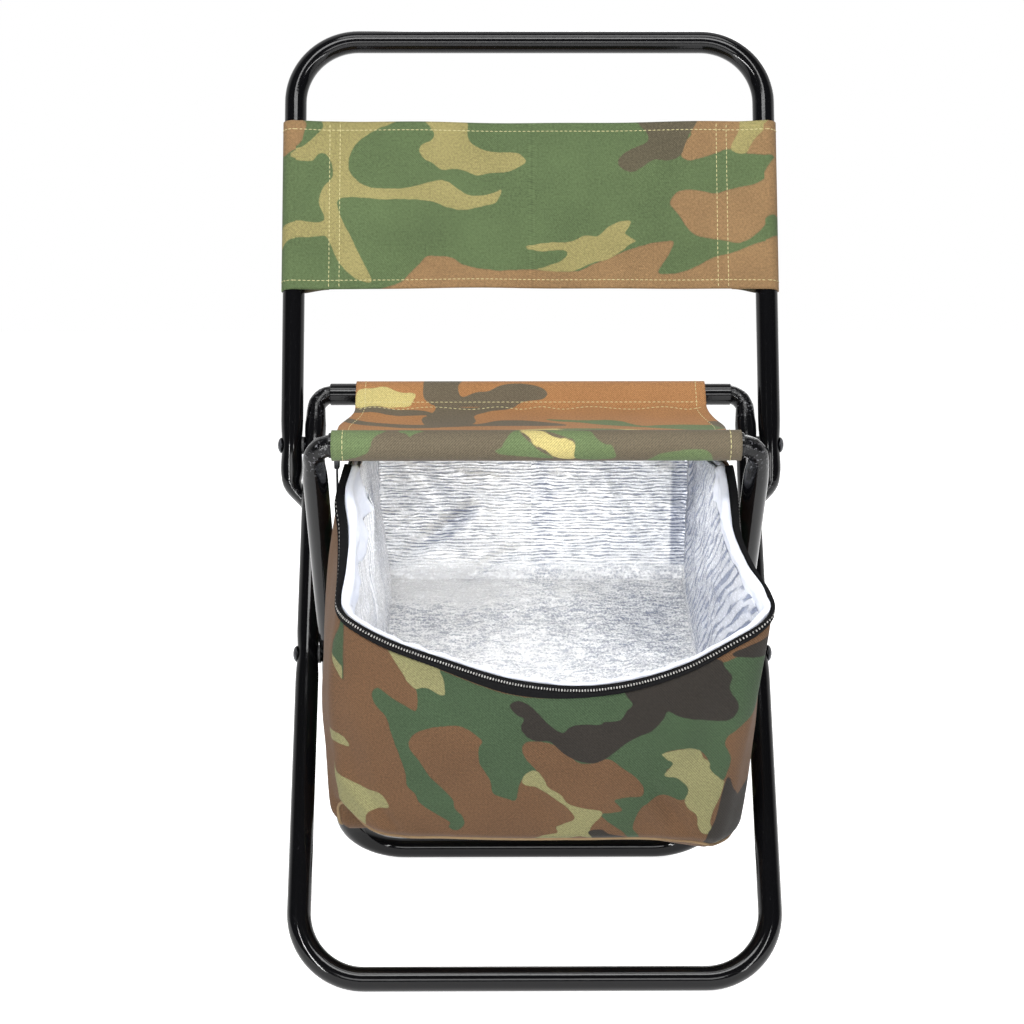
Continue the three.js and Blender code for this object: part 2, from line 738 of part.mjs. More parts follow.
// The shell's edge is lowered where the zip stands on it
const onZip = (place) => ease((zip_end_back - place.y) / zip_end_blend);
const shellShift = (place) => -(zip_height + clearance) * onZip(place);
const foamShift = (place) => foam_rise * onZip(place);
const foilShift = (place) => -foil_drop * onZip(place);
const foam_inset = cloth_thickness + layer_clearance;
const foil_inset = foam_inset + foam_thickness + layer_clearance;

// Zip half on the bag: a strip that stands on the shell's edge, from one end of the zip to the other
function bagZip() {
  const outer = (cloth_thickness - zip_thickness) / 2;
  const inner = (cloth_thickness + zip_thickness) / 2;
  const top = bagRing(1, 0);
  const far = zip_end_back - zip_end_blend;
  const start = top.length - [...top].reverse().findIndex((place) => place.y > far);
  const order = [];
  for (let i = start; i < top.length; i += 1) {
    order.push(i);
  }
  for (let i = 0; i < top.length && top[i].y < far; i += 1) {
    order.push(i);
  }
  const rings = order.map((i) => {
    const high = rimHeight(top[i]);
    const low = high - zip_height;
    return [
      wallPlace(i, low, outer), wallPlace(i, high, outer),
      wallPlace(i, high, inner), wallPlace(i, low, inner),
    ];
  });
  return fromRings(rings, false);
}

// Zip half on the seat: a strip under the cloth, across the front and back along both sides
function seatZip() {
  const half = zip_thickness / 2;
  const left = [];
  for (let i = 0; i <= seat_zip_steps; i += 1) {
    const back = THREE.MathUtils.lerp(seat_zip_back, seat_zip_front, i / seat_zip_steps);
    left.push([-seat_zip_half_width, back, -1, i === seat_zip_steps ? -1 : 0]);
  }
  const right = left.map(([x, back, out_x, out_y]) => [-x, back, -out_x, out_y]).reverse();
  const corners = [...left, ...right];
  const rings = corners.map(([x, back, out_x, out_y]) => {
    const high = seatUnderside(back) - rim_clearance;
    const low = high - seat_zip_height;
    const far = [x + out_x * half, back + out_y * half];
    const near = [x - out_x * half, back - out_y * half];
    return [
      new THREE.Vector3(...far, low), new THREE.Vector3(...far, high),
      new THREE.Vector3(...near, high), new THREE.Vector3(...near, low),
    ];
  });
  return fromRings(rings, false);
}

// Plate with round ends, drawn in the side view and given a thickness along X
function plate(length_back, length_up, radius, thickness) {
  const shape = new THREE.Shape();
  const a = length_back / 2 - radius;
  const b = length_up / 2 - radius;
  shape.absarc(a, b, radius, 0, Math.PI / 2);
  shape.absarc(-a, b, radius, Math.PI / 2, Math.PI);
  shape.absarc(-a, -b, radius, Math.PI, 1.5 * Math.PI);
  shape.absarc(a, -b, radius, 1.5 * Math.PI, 2 * Math.PI);
  const options = { depth: thickness, bevelEnabled: false, curveSegments: plate_arc_steps };
  const geometry = new THREE.ExtrudeGeometry(shape, options);
  geometry.translate(0, 0, -thickness / 2);
  const basis = new THREE.Matrix4().makeBasis(
    new THREE.Vector3(0, 1, 0), new THREE.Vector3(0, 0, 1), new THREE.Vector3(1, 0, 0),
  );
  geometry.applyMatrix4(basis);
  return closed(geometry);
}

const slider_back = zip_end_back + slider_behind_zip_end;
const slider_x = -(bag_half_width + clearance + slider_thickness / 2);
const slider_z = seatUnderside(slider_back) - clearance - slider_height / 2;

function zipSlider() {
  const geometry = plate(slider_length, slider_height, slider_corner_radius, slider_thickness);
  geometry.translate(slider_x, slider_back, slider_z);
  return geometry;
}

function zipPull() {
  const geometry = plate(pull_width, pull_length, pull_corner_radius, pull_thickness);
  const drop = slider_height / 2 + clearance + pull_length / 2;
  geometry.translate(slider_x, slider_back, slider_z - drop);
  return geometry;
}

const paint = new THREE.MeshStandardMaterial({ color: 0x111113, roughness: 0.25, metalness: 0.3 });
const steel = new THREE.MeshStandardMaterial({ color: 0x2a2b2d, roughness: 0.35, metalness: 0.7 });
const nylon = new THREE.MeshStandardMaterial({ color: 0x1b1b1b, roughness: 0.6, metalness: 0 });
const cloth = new THREE.MeshStandardMaterial({ color: 0x4f6b3c, roughness: 0.9, metalness: 0 });
const brown_cloth = new THREE.MeshStandardMaterial({ color: 0x7a5236, roughness: 0.9, metalness: 0 });
const foam = new THREE.MeshStandardMaterial({ color: 0xf1f3f6, roughness: 0.7, metalness: 0 });
const foil = new THREE.MeshStandardMaterial({ color: 0xd8dade, roughness: 0.25, metalness: 0.9 });
const tape = new THREE.MeshStandardMaterial({ color: 0x161617, roughness: 0.8, metalness: 0 });

const stool = new THREE.Group();

function piece(name, geometry, material) {
  const mesh = new THREE.Mesh(geometry, material);
  mesh.name = name;
  stool.add(mesh);
}

piece('outer_leg_frame', legLoop(rear_seat_bar, front_floor_bar, outer_half_width,
  [backrest_pivot, cross_pivot]), paint);
piece('inner_leg_frame', legLoop(front_seat_bar, rear_floor_bar, inner_half_width, [cross_pivot]), paint);
piece('rear_seat_bar', seatBar(rear_seat_bar, outer_half_width), paint);
piece('front_seat_bar', seatBar(front_seat_bar, inner_half_width), paint);
piece('backrest_frame', backrestLoop(), paint);

for (const [word, sign] of [['left', -1], ['right', 1]]) {
  piece(`cross_rivet_${word}`, rivet(cross_pivot, sign, outer_half_width, inner_half_width), steel);
  piece(`cross_washer_${word}`, washer(cross_pivot, sign, outer_half_width, inner_half_width), nylon);
  piece(`backrest_rivet_${word}`,
    rivet(backrest_pivot, sign, backrest_half_width, outer_half_width), steel);
  piece(`backrest_washer_${word}`,
    washer(backrest_pivot, sign, backrest_half_width, outer_half_width), nylon);
}

piece('seat_cloth', seatCloth(), brown_cloth);
piece('backrest_band', backrestBand(), cloth);
piece('bag_shell', bagLayer(0, cloth_thickness, shellShift, bag_base_front_height,
  bag_base_back_height), cloth);
piece('foam_lining', bagLayer(foam_inset, foam_inset + foam_thickness, foamShift,
  liner_base_front_height - foam_thickness - clearance,
  liner_base_back_height - foam_thickness - clearance), foam);
piece('foil_lining', bagLayer(foil_inset, foil_inset + foil_thickness, foilShift,
  liner_base_front_height, liner_base_back_height), foil);
piece('bag_zip', bagZip(), tape);
piece('seat_zip', seatZip(), tape);
piece('zip_slider', zipSlider(), steel);
piece('zip_pull', zipPull(), steel);

// The origin is under the middle of the whole stool, on the floor
const bounds = new THREE.Box3().setFromObject(stool);
const middle = bounds.getCenter(new THREE.Vector3());
stool.position.set(-middle.x, -middle.y, -bounds.min.z);
stool.updateMatrixWorld(true);

export default stool;
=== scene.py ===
"""Folding cooler stool: black steel tube, camouflage cloth seat and backrest, foil-lined bag."""

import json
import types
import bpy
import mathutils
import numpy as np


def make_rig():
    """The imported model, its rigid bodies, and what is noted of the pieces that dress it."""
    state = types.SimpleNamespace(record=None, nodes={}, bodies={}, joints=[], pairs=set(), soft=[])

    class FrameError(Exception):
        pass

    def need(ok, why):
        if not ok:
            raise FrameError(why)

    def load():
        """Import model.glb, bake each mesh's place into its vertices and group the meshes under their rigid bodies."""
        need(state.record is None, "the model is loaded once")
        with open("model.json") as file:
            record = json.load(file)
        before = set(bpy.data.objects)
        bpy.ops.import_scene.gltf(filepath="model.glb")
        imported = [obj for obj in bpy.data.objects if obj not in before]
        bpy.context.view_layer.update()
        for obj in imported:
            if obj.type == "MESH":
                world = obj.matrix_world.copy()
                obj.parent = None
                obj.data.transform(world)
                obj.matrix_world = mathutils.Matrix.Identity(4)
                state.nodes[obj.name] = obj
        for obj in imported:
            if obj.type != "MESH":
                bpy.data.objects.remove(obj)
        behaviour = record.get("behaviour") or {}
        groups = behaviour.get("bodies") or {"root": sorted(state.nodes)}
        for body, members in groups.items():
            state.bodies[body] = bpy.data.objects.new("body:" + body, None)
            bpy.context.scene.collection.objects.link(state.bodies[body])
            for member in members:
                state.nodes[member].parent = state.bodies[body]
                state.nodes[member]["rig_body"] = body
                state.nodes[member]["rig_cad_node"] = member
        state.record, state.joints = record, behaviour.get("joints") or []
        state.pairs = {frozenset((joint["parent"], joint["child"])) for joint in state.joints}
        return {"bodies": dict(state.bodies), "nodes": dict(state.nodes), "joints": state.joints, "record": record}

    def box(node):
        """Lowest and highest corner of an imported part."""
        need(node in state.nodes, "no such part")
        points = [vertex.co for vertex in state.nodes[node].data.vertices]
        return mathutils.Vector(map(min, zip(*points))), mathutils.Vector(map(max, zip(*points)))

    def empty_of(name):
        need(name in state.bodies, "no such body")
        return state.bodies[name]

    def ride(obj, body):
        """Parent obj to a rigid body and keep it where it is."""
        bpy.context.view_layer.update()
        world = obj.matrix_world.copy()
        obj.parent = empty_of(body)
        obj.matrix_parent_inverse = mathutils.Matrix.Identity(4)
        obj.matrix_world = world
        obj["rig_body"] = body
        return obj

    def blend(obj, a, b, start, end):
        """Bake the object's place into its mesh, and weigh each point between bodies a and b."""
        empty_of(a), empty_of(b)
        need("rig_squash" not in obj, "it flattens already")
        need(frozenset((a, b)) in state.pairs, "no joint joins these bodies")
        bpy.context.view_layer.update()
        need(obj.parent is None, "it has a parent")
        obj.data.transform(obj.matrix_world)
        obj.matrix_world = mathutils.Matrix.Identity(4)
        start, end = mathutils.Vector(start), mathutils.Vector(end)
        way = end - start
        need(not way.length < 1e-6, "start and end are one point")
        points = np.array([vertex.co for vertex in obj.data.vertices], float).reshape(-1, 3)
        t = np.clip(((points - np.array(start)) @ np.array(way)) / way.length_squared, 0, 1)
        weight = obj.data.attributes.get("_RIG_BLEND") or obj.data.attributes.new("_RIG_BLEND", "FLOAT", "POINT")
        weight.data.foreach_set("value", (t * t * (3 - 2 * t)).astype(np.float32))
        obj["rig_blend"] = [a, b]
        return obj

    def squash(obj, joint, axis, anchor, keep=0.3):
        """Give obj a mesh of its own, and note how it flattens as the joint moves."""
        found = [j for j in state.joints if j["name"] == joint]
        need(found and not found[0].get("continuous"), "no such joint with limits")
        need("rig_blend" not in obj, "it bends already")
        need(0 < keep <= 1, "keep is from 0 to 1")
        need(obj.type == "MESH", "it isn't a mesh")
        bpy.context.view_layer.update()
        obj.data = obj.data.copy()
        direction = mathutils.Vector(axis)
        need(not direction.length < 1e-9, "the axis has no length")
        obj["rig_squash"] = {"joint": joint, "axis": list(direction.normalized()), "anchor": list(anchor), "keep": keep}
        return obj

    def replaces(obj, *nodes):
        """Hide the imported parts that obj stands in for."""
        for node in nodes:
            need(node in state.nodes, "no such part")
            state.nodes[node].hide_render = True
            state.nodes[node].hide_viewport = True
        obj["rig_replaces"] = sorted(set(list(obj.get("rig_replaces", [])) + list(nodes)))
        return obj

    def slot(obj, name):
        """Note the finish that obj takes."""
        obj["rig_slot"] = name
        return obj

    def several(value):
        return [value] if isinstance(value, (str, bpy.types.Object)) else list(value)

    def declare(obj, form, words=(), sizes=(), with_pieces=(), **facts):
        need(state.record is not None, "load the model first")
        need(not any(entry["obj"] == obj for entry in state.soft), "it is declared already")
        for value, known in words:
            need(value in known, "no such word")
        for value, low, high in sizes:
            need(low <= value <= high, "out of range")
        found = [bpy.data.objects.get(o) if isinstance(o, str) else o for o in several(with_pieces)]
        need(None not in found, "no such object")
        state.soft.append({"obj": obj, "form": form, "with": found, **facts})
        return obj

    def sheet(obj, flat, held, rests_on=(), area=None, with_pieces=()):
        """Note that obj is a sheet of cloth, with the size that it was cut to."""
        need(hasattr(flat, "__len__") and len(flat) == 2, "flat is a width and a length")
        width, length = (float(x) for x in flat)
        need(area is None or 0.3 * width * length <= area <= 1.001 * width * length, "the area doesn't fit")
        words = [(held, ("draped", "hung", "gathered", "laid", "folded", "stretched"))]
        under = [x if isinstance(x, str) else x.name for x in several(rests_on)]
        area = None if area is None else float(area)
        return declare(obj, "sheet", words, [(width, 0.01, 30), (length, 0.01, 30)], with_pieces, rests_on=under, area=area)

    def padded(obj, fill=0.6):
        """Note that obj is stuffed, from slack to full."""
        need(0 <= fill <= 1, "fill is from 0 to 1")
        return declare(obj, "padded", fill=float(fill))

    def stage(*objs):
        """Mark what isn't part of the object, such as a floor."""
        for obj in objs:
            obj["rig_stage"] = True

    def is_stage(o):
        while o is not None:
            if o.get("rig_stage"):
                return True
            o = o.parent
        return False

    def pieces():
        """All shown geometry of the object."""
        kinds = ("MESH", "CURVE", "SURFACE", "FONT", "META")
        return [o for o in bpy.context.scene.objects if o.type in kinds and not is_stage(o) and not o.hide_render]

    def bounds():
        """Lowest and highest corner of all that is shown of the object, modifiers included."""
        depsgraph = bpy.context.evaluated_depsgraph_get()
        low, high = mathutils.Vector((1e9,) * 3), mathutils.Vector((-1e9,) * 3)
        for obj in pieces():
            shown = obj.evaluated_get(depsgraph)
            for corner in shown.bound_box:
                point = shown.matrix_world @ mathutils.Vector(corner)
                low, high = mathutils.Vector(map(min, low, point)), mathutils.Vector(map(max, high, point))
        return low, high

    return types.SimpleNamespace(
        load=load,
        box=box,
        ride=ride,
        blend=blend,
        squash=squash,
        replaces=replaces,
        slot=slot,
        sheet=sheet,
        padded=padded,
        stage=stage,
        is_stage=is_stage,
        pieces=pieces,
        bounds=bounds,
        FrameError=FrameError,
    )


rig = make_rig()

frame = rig.load()
cad_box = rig.bounds()

import json
import logging
import math
from contextlib import contextmanager
from dataclasses import dataclass
from enum import Enum
from typing import Callable, Iterator, Sequence

import bpy
import numpy as np
from mathutils import Matrix, Vector, noise

log = logging.getLogger("stool")
MM = 0.001
TURN = 2 * math.pi
Pair = tuple[float, float]
Triple = tuple[float, float, float]
Colour = tuple[float, float, float, float]
# Middle of a facet, as a share of the radius, on the model's tubes of twelve sides
FACET = math.cos(TURN / 24)


def ease(share: float) -> float:
    """Smooth step from 0 to 1, for a share that is held between them."""
    share = min(max(share, 0.0), 1.0)
    return share * share * (3 - 2 * share)


def bump(share: float) -> float:
    """One smooth hump over -1 to 1, with its top of 1 at 0."""
    return ease(1 - abs(share))


# Where the CAD pieces are

def middle(node: str) -> Vector:
    """Centre of a CAD node's box at rest."""
    low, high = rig.box(node)
    return (low + high) / 2


@dataclass(frozen=True)
class Layout:
    """Bars and pivots of the stool in the side view, and the half widths of its three loops."""

    rear_bar: Vector
    front_bar: Vector
    cross: Vector
    pivot: Vector
    tube: float
    outer_half: float
    inner_half: float
    back_half: float

    @property
    def floor(self) -> float:
        """Height of the centre of a floor bar."""
        return self.tube * FACET

    def down(self, bar: Vector) -> Vector:
        """Centre of the floor bar on the line from a seat bar's centre through the pivot."""
        line = self.cross - bar
        return bar + line * ((self.floor - bar.z) / line.z)

    def at(self, x: float, y: float, z: float) -> Vector:
        """Point given in millimetres from the front floor bar's middle and the floor."""
        return Vector((x * MM, y * MM + self.down(self.rear_bar).y, z * MM))


def read_layout() -> Layout:
    """Reads the bars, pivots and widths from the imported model."""
    joints = {joint["name"]: Vector(joint["pos_m"]) for joint in frame["joints"]}
    low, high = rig.box("rear_seat_bar")
    radius = (high.z - low.z) / 2
    outer, inner, back = (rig.box(node)[1].x - radius * FACET for node in (
        "outer_leg_frame", "inner_leg_frame", "backrest_frame"))
    return Layout(middle("rear_seat_bar"), middle("front_seat_bar"), joints["legs_fold"],
                  joints["backrest_fold"], radius, outer, inner, back)


LAYOUT = read_layout()


# Modelling

# Distance under which the doubled corners of a tube or a cloth are merged, in metres
MERGE = 1e-5


def deselect() -> None:
    """Leaves object mode with nothing selected."""
    if bpy.context.object and bpy.context.object.mode != "OBJECT":
        bpy.ops.object.mode_set(mode="OBJECT")
    bpy.ops.object.select_all(action="DESELECT")


def take(obj: bpy.types.Object) -> None:
    """Makes a piece the only selected one, and the active one."""
    deselect()
    obj.select_set(True)
    bpy.context.view_layer.objects.active = obj


def modify(obj: bpy.types.Object, kind: str, **settings: object) -> None:
    """Adds a modifier and applies it.

    Args:
        obj: The piece.
        kind: Blender's name of the modifier.
        **settings: Its settings.
    """
    take(obj)
    modifier = obj.modifiers.new(kind.title(), kind)
    for name, value in settings.items():
        setattr(modifier, name, value)
    bpy.ops.object.modifier_apply(modifier=modifier.name)


@contextmanager
def editing(obj: bpy.types.Object, action: str = "SELECT") -> Iterator[None]:
    """Opens a piece in edit mode with all its corners selected, or none, and closes it again."""
    take(obj)
    bpy.ops.object.mode_set(mode="EDIT")
    bpy.ops.mesh.select_all(action=action)
    yield
    bpy.ops.object.mode_set(mode="OBJECT")


def tidy(obj: bpy.types.Object, merge: float = 1e-6) -> None:
    """Merges corners nearer than a distance in metres, and turns every face outwards."""
    with editing(obj):
        bpy.ops.mesh.remove_doubles(threshold=merge)
        bpy.ops.mesh.normals_make_consistent(inside=False)


def smooth(obj: bpy.types.Object, angle: float | None = None) -> None:
    """Smooth shading, kept sharp past an angle in degrees where one is given."""
    take(obj)
    if angle is None:
        bpy.ops.object.shade_smooth()
    else:
        bpy.ops.object.shade_smooth_by_angle(angle=math.radians(angle))


def grid(name: str, columns: int, rows: int, place: Callable[[float, float], Sequence[float]],
         cloth: Callable[[float, float], Pair] | None = None,
         mark: tuple[str, Callable[[float, float], float]] | None = None) -> bpy.types.Object:
    """A grid primitive whose corners are moved onto a surface.

    Args:
        name: Name of the piece.
        columns: Faces across.
        rows: Faces up.
        place: Point of the surface for shares across and up, each from 0 to 1.
        cloth: Place on the flat cloth in metres for the same shares, used as the UV map.
        mark: A name, and the number for the same shares that is kept under it.

    Returns:
        The piece, at the origin.
    """
    deselect()
    bpy.ops.mesh.primitive_grid_add(x_subdivisions=columns, y_subdivisions=rows, size=1,
                                    calc_uvs=True)
    obj = bpy.context.object
    obj.name = obj.data.name = name
    shares = [(vertex.co.x + 0.5, vertex.co.y + 0.5) for vertex in obj.data.vertices]
    if cloth:
        flat = [cloth(*share) for share in shares]
        layer = obj.data.uv_layers.active.data
        for loop in obj.data.loops:
            layer[loop.index].uv = flat[loop.vertex_index]
        keep(obj, "flat_x", [s for s, _ in flat])
        keep(obj, "flat_y", [t for _, t in flat])
    if mark:
        keep(obj, mark[0], [mark[1](*share) for share in shares])
    for vertex, share in zip(obj.data.vertices, shares):
        vertex.co = place(*share)
    obj.data.update()
    return obj


def keep(obj: bpy.types.Object, name: str, values: Sequence[float]) -> None:
    """Stores one number for each corner of a piece, under a name that materials can read."""
    attribute = obj.data.attributes.get(name) or obj.data.attributes.new(name, "FLOAT", "POINT")
    attribute.data.foreach_set("value", np.asarray(values, np.float32))


def kept(obj: bpy.types.Object, name: str) -> np.ndarray:
    """The numbers stored under a name, one for each corner."""
    values = np.zeros(len(obj.data.vertices), np.float32)
    obj.data.attributes[name].data.foreach_get("value", values)
    return values


def join(name: str, parts: list[bpy.types.Object]) -> bpy.types.Object:
    """Joins pieces into the first of them, under a name of its own."""
    take(parts[0])
    for part in parts[1:]:
        part.select_set(True)
    bpy.ops.object.join()
    obj = bpy.context.object
    obj.name = obj.data.name = name
    return obj


def scattered(name: str, seed_piece: bpy.types.Object,
              places: Sequence[Matrix]) -> bpy.types.Object:
    """Many copies of one small modelled piece, as one mesh.

    Args:
        name: Name of the result.
        seed_piece: The small piece, which is used up.
        places: Where each copy goes.

    Returns:
        The joined copies.
    """
    corners = np.array([vertex.co for vertex in seed_piece.data.vertices])
    faces = [tuple(face.vertices) for face in seed_piece.data.polygons]
    spots, rows = [], []
    for number, matrix in enumerate(places):
        placed = corners @ np.array(matrix.to_3x3()).T + np.array(matrix.translation)
        spots.extend(placed.tolist())
        first = number * len(corners)
        rows.extend(tuple(first + corner for corner in face) for face in faces)
    mesh = bpy.data.meshes.new(name)
    mesh.from_pydata(spots, [], rows)
    obj = bpy.data.objects.new(name, mesh)
    bpy.context.scene.collection.objects.link(obj)
    bpy.data.objects.remove(seed_piece)
    smooth(obj, 40)
    return obj


def turned(name: str, profile: Sequence[Pair], centre: Vector,
           sides: int = 28) -> bpy.types.Object:
    """A piece turned about a line along X.

    Args:
        name: Name of the piece.
        profile: Radius and place along X of each round.
        centre: A point of the line.
        sides: Faces round the line.

    Returns:
        The piece.
    """
    last = len(profile) - 1

    def place(u: float, v: float) -> Vector:
        size, x = profile[round(u * last)]
        angle = TURN * v
        return Vector((x, centre.y + size * math.cos(angle), centre.z + size * math.sin(angle)))

    obj = grid(name, last, sides, place)
    tidy(obj)
    return obj


def block(name: str, size: Triple) -> bpy.types.Object:
    """A box primitive of a size in metres, at the origin."""
    deselect()
    bpy.ops.mesh.primitive_cube_add(size=1)
    obj = bpy.context.object
    obj.name = obj.data.name = name
    obj.scale = size
    bpy.ops.object.transform_apply(location=False, rotation=False, scale=True)
    return obj


def finish_piece(obj: bpy.types.Object, finish: "Finish", slot: str, body: str | None,
                 replaces: Sequence[str] = ()) -> bpy.types.Object:
    """Gives a piece its finish, body and the CAD nodes that it stands for, and logs it.

    Args:
        obj: The piece.
        finish: Its finish.
        slot: The record's material slot.
        body: The CAD body that it rides on, or None where it is blended later.
        replaces: CAD nodes that it stands for.

    Returns:
        The piece.
    """
    obj.data.materials.clear()
    obj.data.materials.append(finish.material())
    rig.slot(obj, slot)
    if body:
        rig.ride(obj, body)
    if replaces:
        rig.replaces(obj, *replaces)
    log.info("%s: %d faces, on %s", obj.name, len(obj.data.polygons), body or "two bodies")
    return obj


# Shader writing

class Value:
    """A number that runs through a material, on which the usual operators add Math nodes."""

    def __init__(self, tree: "Nodes", socket: bpy.types.NodeSocket) -> None:
        """Wraps a node's output socket."""
        self.tree = tree
        self.socket = socket

    def _math(self, operation: str, *others: "Value | float") -> "Value":
        """Adds one Math node on this number and the others."""
        return self.tree.math(operation, self, *others)

    def __add__(self, other: "Value | float") -> "Value":
        """Sum."""
        return self._math("ADD", other)

    __radd__ = __add__

    def __sub__(self, other: "Value | float") -> "Value":
        """Difference."""
        return self._math("SUBTRACT", other)

    def __rsub__(self, other: float) -> "Value":
        """Difference from a plain number."""
        return self.tree.math("SUBTRACT", other, self)

    def __mul__(self, other: "Value | float") -> "Value":
        """Product."""
        return self._math("MULTIPLY", other)

    __rmul__ = __mul__

    def clamp(self) -> "Value":
        """Held between 0 and 1."""
        return self._math("MAXIMUM", 0.0)._math("MINIMUM", 1.0)

    def sine(self) -> "Value":
        """Sine of the number, in radians."""
        return self._math("SINE")

    def largest(self, other: "Value | float") -> "Value":
        """The larger of two numbers."""
        return self._math("MAXIMUM", other)


class Nodes:
    """The node tree of one material or world."""

    def __init__(self, tree: bpy.types.NodeTree) -> None:
        """Empties the tree."""
        self.tree = tree
        tree.nodes.clear()

    def add(self, kind: str, settings: dict | None = None,
            **sockets: object) -> bpy.types.Node:
        """Adds a node.

        Args:
            kind: The node's type.
            settings: Its settings, set before its sockets.
            **sockets: Values or links of its inputs, by name with _ for a space, or by _ and
                the input's number.

        Returns:
            The node.
        """
        node = self.tree.nodes.new(kind)
        for name, value in (settings or {}).items():
            setattr(node, name, value)
        for name, value in sockets.items():
            key = int(name[1:]) if name[0] == "_" else name.replace("_", " ")
            socket = node.inputs[key]
            if isinstance(value, Value):
                value = value.socket
            if isinstance(value, bpy.types.NodeSocket):
                self.tree.links.new(value, socket)
            else:
                socket.default_value = value
        return node

    def math(self, operation: str, *numbers: Value | float) -> Value:
        """Adds a Math node on numbers."""
        inputs = {f"_{place}": number for place, number in enumerate(numbers)}
        node = self.add("ShaderNodeMath", {"operation": operation}, **inputs)
        return Value(self, node.outputs[0])

    def attribute(self, name: str) -> Value:
        """A number that is stored on the piece's corners."""
        node = self.add("ShaderNodeAttribute", {"attribute_name": name})
        return Value(self, node.outputs["Fac"])

    def place(self, flat: bool = False) -> bpy.types.NodeSocket:
        """The piece's own place: its flat cloth map, or its object coordinates."""
        return self.add("ShaderNodeTexCoord").outputs["UV" if flat else "Object"]

    def stretched(self, place: bpy.types.NodeSocket, scale: Triple) -> bpy.types.NodeSocket:
        """A place scaled along its three directions."""
        return self.add("ShaderNodeMapping", Vector=place, Scale=scale).outputs["Vector"]

    def noise(self, place: bpy.types.NodeSocket, size: float, detail: float = 2.0,
              rough: float = 0.5) -> Value:
        """Smooth noise from 0 to 1.

        Args:
            place: Where it is read.
            size: Length of its lumps in metres.
            detail: How many finer layers it has.
            rough: Strength of the finer layers.

        Returns:
            The noise.
        """
        node = self.add("ShaderNodeTexNoise", Vector=place, Scale=1 / size, Detail=detail,
                        Roughness=rough)
        return Value(self, node.outputs["Fac"])

    def mix(self, share: Value, below: object, above: object) -> bpy.types.NodeSocket:
        """Colour between two colours."""
        node = self.add("ShaderNodeMix", {"data_type": "RGBA"}, Factor=share, _6=below, _7=above)
        return node.outputs[2]

    def scaled(self, shade: bpy.types.NodeSocket, by: Value) -> bpy.types.NodeSocket:
        """A colour made brighter or darker by a number near 1."""
        node = self.add("ShaderNodeVectorMath", {"operation": "SCALE"}, _0=shade, _3=by)
        return node.outputs[0]

    def relief(self, height: Value, depth: float, strength: float = 1.0,
               under: bpy.types.NodeSocket | None = None) -> bpy.types.NodeSocket:
        """Normal of a surface with a height of 0 to 1 times a depth in metres."""
        extra = {"Normal": under} if under else {}
        node = self.add("ShaderNodeBump", Height=height, Distance=depth, Strength=strength, **extra)
        return node.outputs["Normal"]

    def surface(self, **sockets: object) -> None:
        """Ends the material with one Principled surface."""
        shader = self.add("ShaderNodeBsdfPrincipled", None, **sockets)
        self.add("ShaderNodeOutputMaterial", None, Surface=shader.outputs[0])


def colour(*screen: float) -> Colour:
    """A colour given as red, green and blue screen values of 0 to 255, as linear light."""
    red, green, blue = (
        share / 12.92 if share <= 0.04045 else ((share + 0.055) / 1.055) ** 2.4
        for share in (value / 255 for value in screen))
    return red, green, blue, 1.0


@dataclass(frozen=True)
class Finish:
    """A finish: a name, and how its material is written."""

    name: str

    def write(self, nodes: Nodes) -> None:
        """Writes the material's nodes."""
        raise NotImplementedError

    def material(self) -> bpy.types.Material:
        """The finish as a material, made once."""
        found = bpy.data.materials.get(self.name)
        if found:
            return found
        made = bpy.data.materials.new(self.name)
        made.use_nodes = True
        self.write(Nodes(made.node_tree))
        return made


@dataclass(frozen=True)
class BlackPaint(Finish):
    """Gloss black powder coat with a fine orange peel, creased where the tube is pinched, with painted glints on the
    creases.
    """

    def write(self, nodes: Nodes) -> None:
        """Writes the material's nodes."""
        place = nodes.place()
        cloud = nodes.noise(place, 0.03, 3)
        pinch = nodes.attribute("pinched").clamp()
        peel = nodes.noise(place, 0.0016, 1)
        crease = nodes.noise(place, 0.0022, 3, 0.6)
        height = peel * 0.06 + crease * pinch
        scuff = (nodes.noise(nodes.stretched(place, (1, 1, 0.12)), 0.0012, 2) - 0.68) * 5
        speck = ((nodes.noise(place, 0.0024, 1) - 0.78) * 12).clamp()
        # Painted glints: pale flecks on the crests of the creases where the tube is pinched; the scuffs and specks are
        # the paint's own marks
        flake = ((crease - 0.6) * 14).clamp() * pinch * 0.8
        worn = (scuff.clamp() * 0.12 + speck * 0.2 + flake).clamp()
        nodes.surface(
            Base_Color=nodes.mix(worn, colour(8, 8, 10), colour(110, 110, 114)),
            Roughness=cloud * 0.07 + 0.06 + worn * 0.2 + pinch * 0.05,
            Normal=nodes.relief(height, 0.0006, 0.6), Specular_IOR_Level=0.3,
        )


@dataclass(frozen=True)
class Grained(Finish):
    """A plain finish: one fine grain from a dark to a light colour, which is its relief too."""

    dark: Colour
    light: Colour
    size: float
    rough: Pair
    depth: float
    strength: float = 0.5
    detail: float = 2.0
    stretch: Triple = (1.0, 1.0, 1.0)
    flat: bool = False
    metallic: float = 0.0
    specular: float = 0.5

    def write(self, nodes: Nodes) -> None:
        """Writes the material's nodes."""
        place = nodes.stretched(nodes.place(self.flat), self.stretch)
        grain = nodes.noise(place, self.size, self.detail)
        nodes.surface(
            Base_Color=nodes.mix(grain, self.dark, self.light), Metallic=self.metallic,
            Roughness=grain * self.rough[0] + self.rough[1], Specular_IOR_Level=self.specular,
            Normal=nodes.relief(grain, self.depth, self.strength),
        )


class Tint(Enum):
    """The printed colours that lie over the camouflage's first colour."""

    BROWN = "brown"
    LEAF = "leaf"
    SAND = "sand"
    BARK = "bark"


